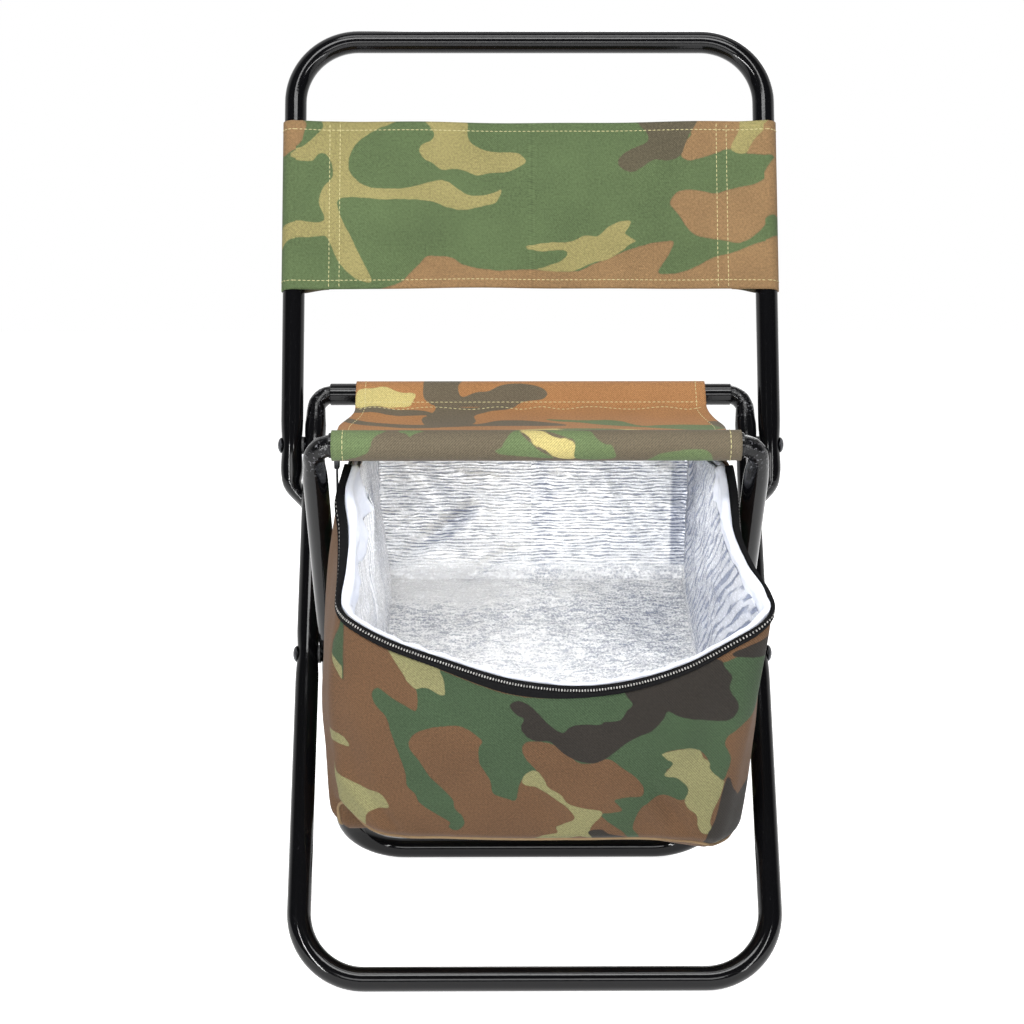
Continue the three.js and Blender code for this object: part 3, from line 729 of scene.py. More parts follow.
@dataclass(frozen=True)
class Camouflage(Finish):
    """Twill polyester printed with large blobs."""

    ground: Colour = colour(80, 96, 63)
    brown: Colour = colour(130, 103, 71)
    leaf: Colour = colour(74, 97, 63)
    sand: Colour = colour(136, 128, 83)
    bark: Colour = colour(81, 75, 59)
    twill: float = 0.0017
    grain: float = 1.0
    depth: float = 0.00022

    def write(self, nodes: Nodes) -> None:
        """Writes the material's nodes."""
        place, flat = nodes.place(), nodes.place(flat=True)
        wobble = (nodes.noise(place, 0.006, 2) - 0.5) * 1.3
        shade = self.ground
        for tint in Tint:
            reach = nodes.attribute(tint.value) + wobble
            shade = nodes.mix((reach * 1.5 + 0.5).clamp(), shade, getattr(self, tint.value))
            if tint is Tint.BROWN:
                rim = (1 - nodes.math("ABSOLUTE", reach - 0.3) * 1.5).clamp() * 0.35
                shade = nodes.mix(rim, shade, self.bark)
        split = nodes.add("ShaderNodeSeparateXYZ", Vector=flat)
        across, along = Value(nodes, split.outputs[0]), Value(nodes, split.outputs[1])
        right = ((across + along) * (TURN / self.twill)).sine()
        left = ((across - along) * (TURN / self.twill)).sine()
        yarn = nodes.noise(flat, 0.0011, 1)
        fleck = nodes.noise(flat, 0.0016, 2, 0.7)
        weave = right * 0.22 + left * right * 0.28 + yarn * 0.5 + 0.25
        fade = nodes.noise(place, 0.04, 2)
        lit = ((fleck - 0.5) * 2.2 + (weave - 0.5) * self.grain + (fade - 0.5) * 0.8 + 0.5).clamp()
        nodes.surface(
            Base_Color=nodes.scaled(shade, lit * 0.6 + 0.7), Roughness=weave * 0.12 + 0.74,
            Sheen_Weight=0.06, Sheen_Roughness=0.5, Specular_IOR_Level=0.2,
            Normal=nodes.relief(weave, self.depth, 0.7),
        )


@dataclass(frozen=True)
class Foam(Finish):
    """Soft white sheet foam, faintly blue, with a fine skin and painted shade in the dips of its lumps."""

    def write(self, nodes: Nodes) -> None:
        """Writes the material's nodes."""
        place = nodes.place()
        lumps = nodes.noise(place, 0.008, 3)
        skin = nodes.noise(place, 0.0012, 2)
        nodes.surface(
            # Painted shade: the colour is darker and bluer where the lumps dip
            Base_Color=nodes.mix(lumps, colour(204, 210, 226), colour(240, 243, 250)),
            Roughness=skin * 0.1 + 0.5, Normal=nodes.relief(skin * 0.3 + lumps, 0.0014, 0.5),
        )


@dataclass(frozen=True)
class Foil(Finish):
    """Reflective film on foam: creased in lines on the walls and crumpled on the floor, with painted reflections and
    shade in its colour.
    """

    pitch: float = 0.0023

    def write(self, nodes: Nodes) -> None:
        """Writes the material's nodes."""
        place, flat = nodes.place(), nodes.place(flat=True)
        crumple = nodes.attribute("crumpled").clamp()
        split = nodes.add("ShaderNodeSeparateXYZ", Vector=flat)
        along = Value(nodes, split.outputs[1])
        drift = nodes.noise(nodes.stretched(flat, (0.4, 1.2, 1)), 0.011, 3, 0.6)
        line = (along * (TURN / self.pitch) + drift * 15).sine() * 0.5 + 0.5
        streak = nodes.noise(nodes.stretched(flat, (0.2, 1, 1)), 0.0021, 3, 0.65)
        ridge = ((line * 0.55 + streak * 1.7 - 0.72) * 2.6).clamp()
        grains = nodes.noise(place, 0.0017, 3, 0.75)
        rows = nodes.noise(nodes.stretched(place, (0.25, 1, 1)), 0.0024, 2, 0.6)
        speck = ((grains * 0.6 + rows * 0.4 - 0.5) * 7 + 0.66).clamp()
        height = ridge * (1 - crumple) + speck * crumple
        large = nodes.noise(place, 0.018, 3, 0.6)
        broad = ((nodes.noise(place, 0.04, 2) - 0.5) * 3 + 0.6).clamp()
        # Painted light: the colour is paler on crests and in bright places, darker in dips and dull places, in place of
        # the foil's reflections and shade
        lit = height * 0.8 + broad * 0.25 + nodes.attribute("shine") * 0.6 + crumple * 0.05 + 0.1
        nodes.surface(
            Base_Color=nodes.mix(lit.clamp(), colour(140, 148, 168), colour(252, 253, 255)),
            Metallic=crumple * -0.16 + 0.18, Roughness=grains * 0.2 + 0.16,
            Normal=nodes.relief(height, 0.0011, 0.8, nodes.relief(large, 0.004, 0.5)),
        )


@dataclass(frozen=True)
class ZipTeeth(Finish):
    """Moulded zip coil: dark, with painted highlights where its rounded heads catch the light."""

    def write(self, nodes: Nodes) -> None:
        """Writes the material's nodes."""
        grain = nodes.noise(nodes.place(), 0.0011, 1)
        # Painted highlights: pale patches on the teeth
        worn = (grain * 3 - 1).clamp()
        nodes.surface(
            Base_Color=nodes.mix(worn, colour(112, 111, 108), colour(206, 204, 200)),
            Roughness=grain * 0.15 + 0.25,
        )


@dataclass(frozen=True)
class Piping(Finish):
    """Binding cord of a plain tan weave."""

    def write(self, nodes: Nodes) -> None:
        """Writes the material's nodes."""
        weave = nodes.noise(nodes.place(), 0.0009, 2)
        patch = ((nodes.noise(nodes.place(), 0.03, 2) - 0.45) * 12).clamp()
        tone = nodes.mix(patch, colour(112, 84, 58), colour(128, 102, 72))
        nodes.surface(
            Base_Color=nodes.mix(weave * 0.25, tone, colour(186, 172, 130)),
            Roughness=weave * 0.1 + 0.75, Normal=nodes.relief(weave, 0.0002, 0.6),
        )


PAINT = BlackPaint("gloss_paint")
STEEL = Grained("dark_steel", colour(40, 41, 44), colour(98, 99, 103), 0.0012, (0.2, 0.25),
                0.0002, stretch=(6, 1, 1), metallic=0.85)
NYLON = Grained("moulded_nylon", colour(16, 16, 17), colour(30, 30, 32), 0.0006, (0.15, 0.3),
                0.00015)
CLOTH = Camouflage("printed_twill")
SEAT_CLOTH = Camouflage(
    "seat_twill", ground=colour(95, 111, 75), brown=colour(155, 111, 71),
    leaf=colour(95, 111, 75), sand=colour(180, 167, 109), bark=colour(97, 88, 72), grain=3.4)
BAG_CLOTH = Camouflage(
    "bag_twill", ground=colour(58, 75, 52), brown=colour(98, 72, 50),
    leaf=colour(59, 77, 54), sand=colour(129, 126, 88), bark=colour(41, 37, 33), grain=2.2)
THREAD = Grained("pale_thread", colour(168, 160, 112), colour(212, 204, 154), 0.0007,
                 (0.1, 0.6), 0.0002, 0.6)
FOAM, FOIL = Foam("foam_sheet"), Foil("foil_film")
TAPE = Grained("woven_tape", colour(5, 5, 6), colour(20, 20, 22), 0.0009, (0.1, 0.75), 0.0003,
               0.7, detail=1.0, stretch=(1, 0.25, 1), flat=True, specular=0.12)
TEETH, PIPING = ZipTeeth("coil_teeth"), Piping("bound_cord")


# Bent tubes

@dataclass(frozen=True)
class Station:
    """One round of a tube: its centre, its direction, and its half sizes."""

    centre: Vector
    direction: Vector
    side: float
    normal: float
    pinch: float = 0.0


def bent_path(corners: Sequence[Vector], radii: Sequence[float],
              step: float) -> list[tuple[Vector, Vector]]:
    """A path through corners with round bends.

    Args:
        corners: The corner points.
        radii: Bend radius at each inner corner.
        step: Longest distance between points of the path.

    Returns:
        Points with their directions.
    """
    path: list[tuple[Vector, Vector]] = []
    start = corners[0].copy()
    for number, radius in enumerate(radii, 1):
        into = (corners[number] - corners[number - 1]).normalized()
        out = (corners[number + 1] - corners[number]).normalized()
        turn = into.angle(out)
        first = corners[number] - into * (radius * math.tan(turn / 2))
        count = max(2, round((first - start).length / step))
        path += [(start.lerp(first, k / count), into) for k in range(count)]
        inward = (out - into * out.dot(into)).normalized()
        centre = first + inward * radius
        count = max(8, round(radius * turn / step * 2))
        for k in range(count):
            angle = turn * k / count
            point = centre - inward * (radius * math.cos(angle)) + into * (radius * math.sin(angle))
            path.append((point, into * math.cos(angle) + inward * math.sin(angle)))
        start = centre - inward * (radius * math.cos(turn)) + into * (radius * math.sin(turn))
    last = (corners[-1] - start).normalized()
    count = max(2, round((corners[-1] - start).length / step))
    path += [(start.lerp(corners[-1], k / count), last) for k in range(count + 1)]
    return path


def tube(name: str, stations: Sequence[Station], flat: Vector,
         sides: int = 28) -> bpy.types.Object:
    """A closed tube through stations.

    Args:
        name: Name of the piece.
        stations: The rounds.
        flat: Normal of the plane that the tube lies in, along which a round's normal size is.
        sides: Faces round the tube.

    Returns:
        The tube.
    """
    rounds = [stations[0], *stations, stations[-1]]
    last = len(rounds) - 1

    def place(u: float, v: float) -> Vector:
        number = round(u * last)
        spot = rounds[number]
        up = (flat - spot.direction * flat.dot(spot.direction)).normalized()
        sideways = up.cross(spot.direction)
        size = 0.0 if number in (0, last) else 1.0
        angle = TURN * v
        wave = 1.0
        if spot.pinch > 0:
            at = spot.centre / MM
            wave += spot.pinch * 0.07 * noise.noise(Vector((at.x * 0.5, at.z * 0.5, angle * 1.3)))
        reach = sideways * (spot.side * math.cos(angle)) + up * (spot.normal * math.sin(angle))
        return spot.centre + reach * (size * wave)

    obj = grid(name, last, sides, place,
               mark=("pinched", lambda u, v: rounds[round(u * last)].pinch))
    tidy(obj, MERGE)
    smooth(obj, 60)
    return obj


@dataclass
class Frames:
    """The three tube loops, the two seat bars, the rivets and the washers."""

    step: float = 6 * MM
    floor_bend: float = 44 * MM
    seat_bend: float = 12.5 * MM
    back_bend: float = 46 * MM
    neck: float = 6.6 * MM
    neck_reach: float = 30 * MM
    dimple: float = 0.8 * MM
    dimple_reach: float = 14 * MM
    bar_wall: float = 1 * MM
    bore_depth: float = 12 * MM
    lip: float = 0.6 * MM
    # The backrest's lower ends: how far they stand behind the legs, step in, and reach down
    bear: float = 17.7 * MM
    bear_start: float = 48 * MM
    inset: float = 14 * MM
    reach: float = 66 * MM
    end_side: float = 4.7 * MM
    end_normal: float = 9.3 * MM

    def build(self) -> None:
        """Builds every tube, bar, rivet and washer."""
        place = LAYOUT
        self.leg_loop("outer_leg_tube", place.rear_bar, place.outer_half,
                      [place.pivot, place.cross], "outer_legs", "outer_leg_frame")
        self.leg_loop("inner_leg_tube", place.front_bar, place.inner_half,
                      [place.cross], "inner_legs", "inner_leg_frame")
        self.bar("rear_seat_tube", "rear_seat_bar", "outer_legs")
        self.bar("front_seat_tube", "front_seat_bar", "inner_legs")
        self.backrest()
        self.hardware()

    def leg_loop(self, name: str, bar: Vector, half: float, pivots: Sequence[Vector],
                 body: str, node: str) -> None:
        """One leg loop, drawn down at its top bends and pressed flat at its rivets.

        Args:
            name: Name of the piece.
            bar: Centre of its seat bar.
            half: Half of its width between tube centres.
            pivots: Centres of its rivets in the side view.
            body: The CAD body.
            node: The CAD node that it stands for.
        """
        floor = LAYOUT.down(bar)
        leg = (floor - bar).normalized()
        end = half - self.seat_bend - self.neck_reach

        def corner(centre: Vector, x: float) -> Vector:
            return Vector((x, centre.y, centre.z))

        corners = [corner(bar, -end), corner(bar, -half), corner(floor, -half),
                   corner(floor, half), corner(bar, half), corner(bar, end)]
        radii = [self.seat_bend, self.floor_bend, self.floor_bend, self.seat_bend]
        stations = []
        for point, direction in bent_path(corners, radii, self.step):
            depth = (point - bar).dot(leg)
            neck = 1 - ease((depth - self.seat_bend * 0.8) / (20 * MM))
            side = LAYOUT.tube - (LAYOUT.tube - self.neck) * neck
            normal = side + 0.5 * MM * neck
            for pivot in pivots:
                away = abs(depth - (pivot - bar).dot(leg)) / self.dimple_reach
                press = bump(away * 0.8)
                side -= self.dimple * press
                normal += self.dimple * 0.5 * press
            bend = ease((depth - ((floor - bar).length - self.floor_bend)) / (20 * MM))
            normal *= 1 + 0.02 * bend * (1 - abs(direction.x))
            inside = abs(point.x) > half - self.seat_bend * 1.2
            stations.append(Station(point, direction, side, normal,
                                    neck if inside and depth < 22 * MM else 0.0))
        obj = tube(name, stations, Vector((1, 0, 0)).cross(leg))
        finish_piece(obj, PAINT, "black_tube", body, [node])

    def bar(self, name: str, node: str, body: str) -> None:
        """A seat bar: an open tube with rounded lips at its ends, closed deep inside.

        Args:
            name: Name of the piece.
            node: The CAD node that it stands for.
            body: The CAD body.
        """
        radius, half = LAYOUT.tube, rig.box(node)[1].x
        bore, lip = radius - self.bar_wall, radius - self.lip
        profile = [(bore, half - self.bore_depth), (bore, half), (lip, half),
                   (radius, half - self.lip)]
        rounds = [(size, -x) for size, x in profile] + profile[::-1]
        obj = turned(name, rounds, middle(node), 40)
        with editing(obj, "DESELECT"):
            bpy.ops.mesh.select_non_manifold()
            bpy.ops.mesh.edge_face_add()
        tidy(obj)
        smooth(obj, 35)
        finish_piece(obj, PAINT, "black_tube", body, [node])

    def backrest(self) -> None:
        """The backrest loop, whose lower ends bend in behind the outer legs and bear on them."""
        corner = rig.box("backrest_frame")[1]
        pivot, half, radius = LAYOUT.pivot, LAYOUT.back_half, LAYOUT.tube
        top = Vector((0, corner.y - radius, corner.z - radius))
        rise = (top - Vector((0, pivot.y, pivot.z))).normalized()
        leg = (LAYOUT.rear_bar - LAYOUT.down(LAYOUT.rear_bar)).normalized()
        behind = Vector((0, leg.z, -leg.y))
        lean = rise.angle(leg)

        def lower(down: float, sign: float) -> Vector:
            """Centre of a lower end, at a distance down from the pivot."""
            slack = self.bear - self.bear_start * math.sin(lean)
            apart = self.bear if down > self.bear_start else \
                down * math.sin(lean) + slack * ease(down / self.bear_start)
            x = sign * (half - self.inset * ease((down - 24 * MM) / (24.3 * MM)))
            base = Vector((x, pivot.y, pivot.z))
            return base - leg * (down * math.cos(lean)) + behind * apart

        def pressed(away: float) -> Pair:
            """Half sizes beside a rivet, at a distance from it."""
            press = self.dimple * bump(abs(away) / self.dimple_reach * 0.8)
            return radius - press, radius + 0.5 * press

        def section(down: float) -> Pair:
            """Half sizes of a lower end, pressed flat and closed at its tip."""
            side, normal = pressed(down)
            flat = ease((down - 16 * MM) / (26 * MM))
            tip = ease((down - self.reach + 9 * MM) / (9 * MM))
            side += (self.end_side - radius) * flat
            normal += (self.end_normal - radius) * flat
            return side * (1 - 0.55 * tip * tip), normal * (1 - 0.45 * tip ** 3)

        downs = [self.reach - k * 2.2 * MM for k in range(30)] + [0.0]

        def end(sign: float) -> list[Station]:
            """Rounds of one lower end, from its tip up."""
            made = []
            for down in downs:
                way = (lower(down - 1 * MM, sign) - lower(down + 1 * MM, sign)).normalized()
                made.append(Station(lower(down, sign), way * -sign, *section(down),
                                    pinch=0.35 * bump((down - 34 * MM) / (20 * MM))))
            return made

        corners = [Vector((-half, pivot.y, pivot.z)), Vector((-half, top.y, top.z)),
                   Vector((half, top.y, top.z)), Vector((half, pivot.y, pivot.z))]
        loop = [Station(point, direction, *pressed((point - pivot).dot(rise)))
                for point, direction in bent_path(corners, [self.back_bend] * 2, self.step)[1:-1]]
        obj = tube("backrest_tube", [*end(-1), *loop, *end(1)[::-1]],
                   Vector((1, 0, 0)).cross(rise))
        finish_piece(obj, PAINT, "black_tube", "backrest", ["backrest_frame"])

    def hardware(self) -> None:
        """Domed rivets with a struck rim, and plastic washers."""
        for word in ("left", "right"):
            for kind in ("cross", "backrest"):
                self.rivet(f"{kind}_rivet_{word}")
                self.washer(f"{kind}_washer_{word}")

    def rivet(self, node: str) -> None:
        """One rivet: head, shank and tail turned from one profile."""
        low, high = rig.box(node)
        sign = 1 if high.x > 0 else -1
        outer, inner = (high.x, low.x) if sign > 0 else (low.x, high.x)
        head, shank, tail = 5.6 * MM, 2.5 * MM, 4.2 * MM
        tall, flat = 2.8 * MM, 2 * MM
        dome = ((0, 0), (0.35, 0.15), (0.7, 0.7), (0.93, 1.6), (1, 2.2), (0.97, 2.8))
        profile = [(head * share, outer - sign * down * MM) for share, down in dome]
        profile += [(shank, outer - sign * tall), (shank, inner + sign * flat),
                    (tail * 0.95, inner + sign * flat), (tail, inner + sign * flat * 0.5),
                    (tail * 0.8, inner + sign * 0.1 * MM), (tail * 0.45, inner),
                    (0, inner + sign * 0.4 * MM)]
        obj = turned(f"{node}_head", profile, middle(node))
        smooth(obj, 40)
        finish_piece(obj, STEEL, "rivet_steel", "outer_legs", [node])

    def washer(self, node: str) -> None:
        """One washer with eased edges."""
        low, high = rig.box(node)
        outer, bore, eased = (high.z - low.z) / 2, 2.8 * MM, 0.3 * MM
        profile = [(bore, low.x), (outer - eased, low.x), (outer, low.x + eased),
                   (outer, high.x - eased), (outer - eased, high.x), (bore, high.x),
                   (bore, low.x)]
        obj = turned(f"{node}_ring", profile, middle(node))
        smooth(obj, 40)
        finish_piece(obj, NYLON, "nylon", "outer_legs", [node])


# Printed cloth

@dataclass(frozen=True)
class Blob:
    """One printed blob: a smooth closed outline through places in millimetres, x and y in turn."""

    tint: Tint
    outline: tuple[float, ...]

    def ring(self, fineness: int = 5) -> np.ndarray:
        """The outline as a fine closed run of points."""
        here = np.array(self.outline, float).reshape(-1, 2)
        before, after, beyond = (np.roll(here, by, 0) for by in (1, -1, -2))
        made = [0.5 * (2 * here + (after - before) * share
                       + (2 * before - 5 * here + 4 * after - beyond) * share ** 2
                       + (3 * here - before - 3 * after + beyond) * share ** 3)
                for share in np.arange(fineness) / fineness]
        return np.stack(made, 1).reshape(-1, 2)

    def inside(self, x: np.ndarray, y: np.ndarray) -> np.ndarray:
        """How far inside the outline each place is, in millimetres, below zero outside."""
        ring = self.ring()
        low, high = ring.min(0) - 8, ring.max(0) + 8
        made = np.full(x.shape, -8.0)
        near = np.flatnonzero((x > low[0]) & (x < high[0]) & (y > low[1]) & (y < high[1]))
        px, py = x[near], y[near]
        away, within = np.full(px.shape, 99.0), np.zeros(px.shape, bool)
        for (ax, ay), (bx, by) in zip(ring, np.roll(ring, -1, 0)):
            dx, dy = bx - ax, by - ay
            share = np.clip(((px - ax) * dx + (py - ay) * dy) / max(dx * dx + dy * dy, 1e-9), 0, 1)
            away = np.minimum(away, np.hypot(px - ax - dx * share, py - ay - dy * share))
            if dy:
                within ^= ((ay > py) != (by > py)) & (px < ax + (py - ay) * dx / dy)
        made[near] = np.where(within, away, -away)
        return made


class Print:
    """The camouflage of one cloth, painted colour over colour on its corners."""

    under: float = 0.7

    def __init__(self, obj: bpy.types.Object) -> None:
        """Starts with the plain first colour."""
        self.obj = obj
        self.x, self.y = kept(obj, "flat_x") / MM, kept(obj, "flat_y") / MM
        self.reach = {tint: np.full(self.x.shape, -9.0) for tint in Tint}

    def paint(self, tint: Tint, inside: np.ndarray) -> None:
        """Paints one colour over the others where its reach is above zero."""
        for other, reach in self.reach.items():
            self.reach[other] = np.maximum(reach, inside) if other is tint \
                else np.minimum(reach, self.under - inside)

    def blobs(self, blobs: Sequence[Blob]) -> None:
        """Paints outlined blobs in their order."""
        for blob in blobs:
            self.paint(blob.tint, blob.inside(self.x, self.y))

    def strew(self, seed: float, where: np.ndarray, size: float = 52.0) -> None:
        """Paints drifting blobs of every colour over places that the photo doesn't show.

        The blobs follow the piece's resting shape, so that they meet where its cloth closes.

        Args:
            seed: Which pattern it is.
            where: The places.
            size: Length of the blobs in millimetres.
        """
        shares = ((Tint.BROWN, 0.02), (Tint.LEAF, 0.16), (Tint.SAND, 0.24), (Tint.BARK, 0.2))
        for number, (tint, cut) in enumerate(shares):
            inside = np.full(self.x.shape, -9.0)
            for k in np.flatnonzero(where):
                x, y, z = self.obj.data.vertices[k].co / MM / size
                spot = Vector((x * 0.7 + seed, y * 0.9, z + 7.3 * number))
                lumps = noise.noise(spot) + 0.3 * noise.noise(spot * 2.4)
                inside[k] = (lumps - cut) * size * 0.6
            self.paint(tint, inside)

    def store(self) -> None:
        """Keeps every colour's reach on the cloth, where its finish reads it."""
        for tint, reach in self.reach.items():
            keep(self.obj, tint.value, np.clip(reach, -9, 9))


def stitch_piece(length: float, thick: float) -> bpy.types.Object:
    """One stitch along X: a short thread that dips into the cloth at both ends."""
    deselect()
    bpy.ops.mesh.primitive_cylinder_add(vertices=6, radius=thick / 2, depth=length,
                                        rotation=(0, TURN / 4, 0))
    bpy.ops.object.transform_apply(location=False, rotation=True, scale=False)
    obj = bpy.context.object
    with editing(obj):
        bpy.ops.mesh.bisect(plane_co=(0, 0, 0), plane_no=(1, 0, 0))
    for vertex in obj.data.vertices:
        away = abs(vertex.co.x) / (length / 2)
        vertex.co.y *= 1 - 0.35 * away
        vertex.co.z = vertex.co.z * (1 - 0.35 * away) - thick * 0.45 * away
    return obj


def seam(name: str, path: Sequence[tuple[Vector, Vector]], pitch: float = 3.4 * MM,
         gap: float = 0.75 * MM, thick: float = 0.62 * MM) -> bpy.types.Object:
    """A row of stitches along a path on a cloth, which its cloth gives a body later.

    Args:
        name: Name of the piece.
        path: Points on the cloth with the cloth's outward normal at each.
        pitch: Distance from stitch to stitch.
        gap: Cloth left showing between stitches.
        thick: Thickness of the thread.

    Returns:
        The stitches as one piece.
    """
    runs = [0.0]
    for (one, _), (two, _) in zip(path, path[1:]):
        runs.append(runs[-1] + (two - one).length)
    places = []
    for number in range(int(runs[-1] / pitch)):
        spot = (number + 0.5) * pitch
        k = max(i for i, run in enumerate(runs[:-1]) if run <= spot)
        share = (spot - runs[k]) / (runs[k + 1] - runs[k])
        point = path[k][0].lerp(path[k + 1][0], share)
        up = path[k][1].lerp(path[k + 1][1], share).normalized()
        along = (path[k + 1][0] - path[k][0]).normalized()
        along = (along + up.cross(along) * 0.06 * (-1) ** number).normalized()
        side = up.cross(along).normalized()
        turn = Matrix((along, side, along.cross(side))).transposed().to_4x4()
        turn.translation = point + up * thick * 0.12
        places.append(turn)
    obj = scattered(name, stitch_piece(pitch - gap, thick), places)
    return finish_piece(obj, THREAD, "camouflage_cloth", None)


class Drape:
    """A cloth surface that both the cloth and its seams follow."""

    def __init__(self, place: Callable[[float, float], Vector]) -> None:
        """Takes the surface as a point for shares across and up."""
        self.place = place

    def normal(self, u: float, v: float, outward: float = 1.0, step: float = 0.002) -> Vector:
        """Outward normal at shares across and up, read over a small step."""
        across = self.place(min(u + step, 1), v) - self.place(max(u - step, 0), v)
        up = self.place(u, min(v + step, 1)) - self.place(u, max(v - step, 0))
        return across.cross(up).normalized() * outward

    def path(self, spots: Sequence[tuple[float, float]], lift: float,
             outward: float = 1.0) -> list[tuple[Vector, Vector]]:
        """Points over the surface, with normals.

        Args:
            spots: Shares across and up.
            lift: How far the points stand off the surface.
            outward: 1 where shares across and up turn outwards, -1 where they turn inwards.

        Returns:
            The points and their normals.
        """
        made = []
        for u, v in spots:
            up = self.normal(u, v, outward)
            made.append((self.place(u, v) + up * lift, up))
        return made


def spots(start: tuple[float, float], end: tuple[float, float],
          count: int) -> list[tuple[float, float]]:
    """Shares evenly from one place on a surface to another."""
    return [(start[0] + (end[0] - start[0]) * k / count,
             start[1] + (end[1] - start[1]) * k / count) for k in range(count + 1)]


# Short names for the blobs' colours
B, L, S, K = Tint.BROWN, Tint.LEAF, Tint.SAND, Tint.BARK


@dataclass
class BackrestBand:
    """The backrest cloth: one taut panel that goes round both uprights."""

    thickness: float = 1.1 * MM
    low: float = 113 * MM
    tall: float = 126 * MM
    hem: float = 6.5 * MM
    stitch_outer: float = 146 * MM
    columns: tuple[float, ...] = (-144.3 * MM, -136.8 * MM, 134.2 * MM, 141.6 * MM)
    blobs: tuple[Blob, ...] = (
        # corner brown
        Blob(B, (-185, 128, -163, 126, -163, 117, -166, 109, -173, 104, -185, 101)),
        # tree
        Blob(S, (-177, 100, -172, 104, -165, 106, -159, 111, -154, 116, -149, 122, -146, 128, -98,
                 127, -108, 121, -117, 116, -125, 109, -130, 99, -130, 89, -125, 82, -118, 77,
                 -108, 75, -93, 75, -81, 77, -66, 81, -58, 80, -50, 74, -42, 70, -32, 70, -25, 72,
                 -19, 74, -23, 65, -32, 62, -47, 59, -59, 61, -69, 65, -86, 67, -106, 67, -128, 69,
                 -138, 67, -138, 61, -135, 52, -129, 40, -123, 27, -117, 15, -113, 5, -121, 6,
                 -129, 11, -137, 20, -142, 31, -146, 39, -150, 40, -157, 39, -170, 38, -178, 36,
                 -185, 30, -185, 44, -177, 49, -167, 51, -155, 50, -148, 52, -149, 57, -152, 64,
                 -151, 71, -148, 78, -143, 83, -142, 90, -144, 97, -148, 102, -153, 101, -157, 96,
                 -167, 96, -175, 98)),
        # top tan
        Blob(S, (-73, 128, -46, 128, -44, 116, -41, 110, -33, 105, -22, 103, -10, 103, -5, 101, -1,
                 96, -6, 92, -15, 88, -27, 87, -36, 85, -42, 87, -52, 90, -62, 89, -69, 94, -75,
                 97, -79, 103, -77, 108, -71, 111, -68, 116, -71, 122)),
        # low tan
        Blob(S, (-2, 31, 5, 34, 15, 35, 23, 35, 31, 37, 37, 40, 47, 40, 53, 45, 59, 49, 65, 51, 71,
                 51, 69, 45, 67, 42, 70, 39, 75, 36, 70, 33, 64, 28, 54, 22, 44, 20, 34, 15, 27,
                 13, 15, 13, 2, 14, 10, 17, 20, 21, 25, 26, 23, 29, 15, 29, 5, 28)),
        # bottom brown
        Blob(B, (-98, -9, -90, 6, -85, 12, -79, 18, -73, 24, -64, 24, -55, 23, -48, 18, -37, 15,
                 -22, 13, -5, 14, 10, 14, 30, 13, 43, 18, 57, 24, 69, 29, 81, 33, 92, 35, 101, 36,
                 102, 33, 98, 24, 93, 17, 91, 12, 98, 11, 109, 13, 121, 18, 130, 23, 145, 27, 160,
                 33, 172, 36, 187, 38, 187, -5)),
        # right brown
        Blob(B, (100, 63, 102, 69, 107, 73, 114, 74, 123, 73, 132, 71, 140, 73, 151, 76, 161, 78,
                 170, 83, 175, 91, 180, 98, 187, 101, 187, 59, 177, 55, 170, 49, 165, 43, 157, 37,
                 149, 34, 138, 36, 125, 38, 117, 41, 111, 47, 107, 54)),
        # top right brown
        Blob(B, (118, 130, 187, 131, 187, 100, 178, 100, 170, 100, 160, 101, 153, 101, 145, 104,
                 140, 104, 133, 101, 123, 98, 114, 96, 108, 100, 111, 110, 116, 116)),
        # top right tan
        Blob(S, (155, 130, 177, 130, 170, 120, 164, 114, 159, 107, 155, 101, 145, 104, 148, 113,
                 151, 119)),
        # top dark
        Blob(K, (79, 129, 119, 130, 114, 115, 111, 107, 108, 100, 100, 96, 89, 97, 81, 92, 74, 88,
                 68, 89, 63, 93, 63, 98, 68, 103, 76, 107, 84, 111, 84, 117)),
    )

    def build(self) -> None:
        """Builds the cloth and its seams."""
        pivot, half = LAYOUT.pivot, LAYOUT.back_half
        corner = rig.box("backrest_frame")[1]
        top = Vector((0, corner.y - LAYOUT.tube, corner.z - LAYOUT.tube))
        rise = (top - pivot).normalized()
        back = Vector((0, rise.z, -rise.y))
        wrap = LAYOUT.tube + 0.4 * MM
        front = 6.2 * MM
        reach = half - self.stitch_outer
        # Lengths along the cloth, from one pocket's seam round the tube and over the front
        around = wrap * math.radians(208)
        run_back = reach - 1 * MM
        total = 2 * (half + around + run_back)

        def profile(run: float) -> tuple[float, float]:
            """Across and backwards, for a run along the cloth from its left inner end."""
            side = -1.0
            if run > total / 2:
                run, side = total - run, 1.0
            if run < run_back:
                share = run / run_back
                x = -half + reach * (1 - share)
                depth = wrap * 0.85 * ease(share) - front * (1 - ease(share))
                return -side * x, depth + 1.6 * MM * (1 - share)
            run -= run_back
            if run < around:
                angle = math.radians(75) + run / wrap
                x = -half + wrap * math.cos(angle)
                return -side * x, wrap * math.sin(angle)
            run -= around
            x = -half - wrap * math.sin(math.radians(13)) + run
            depth = -wrap * math.cos(math.radians(13))
            settle = ease(run / reach)
            return -side * x, depth + (wrap - front) * settle

        def place(u: float, v: float) -> Vector:
            x, depth = profile(u * total)
            across = x / half
            inner = ease((1 - abs(across)) * 6)
            edge = abs(2 * v - 1)
            sag = 1.2 * MM * (1 - across * across) * (2 * v - 1) * -1
            slack = 1.3 * MM * math.sin(5.1 * across + 1.2 * v) * inner
            slack += 0.8 * MM * math.sin(11 * across - 4 * v + 1) * inner * edge
            tug = 0.5 * MM * math.sin(26 * v + 3 * across) * bump((abs(across) - 0.84) / 0.1)
            base = pivot + rise * (self.low + v * self.tall + sag * edge)
            return base + Vector((x, 0, 0)) + back * (depth + slack + tug)

        def cloth(u: float, v: float) -> tuple[float, float]:
            return (u - 0.5) * total, v * self.tall

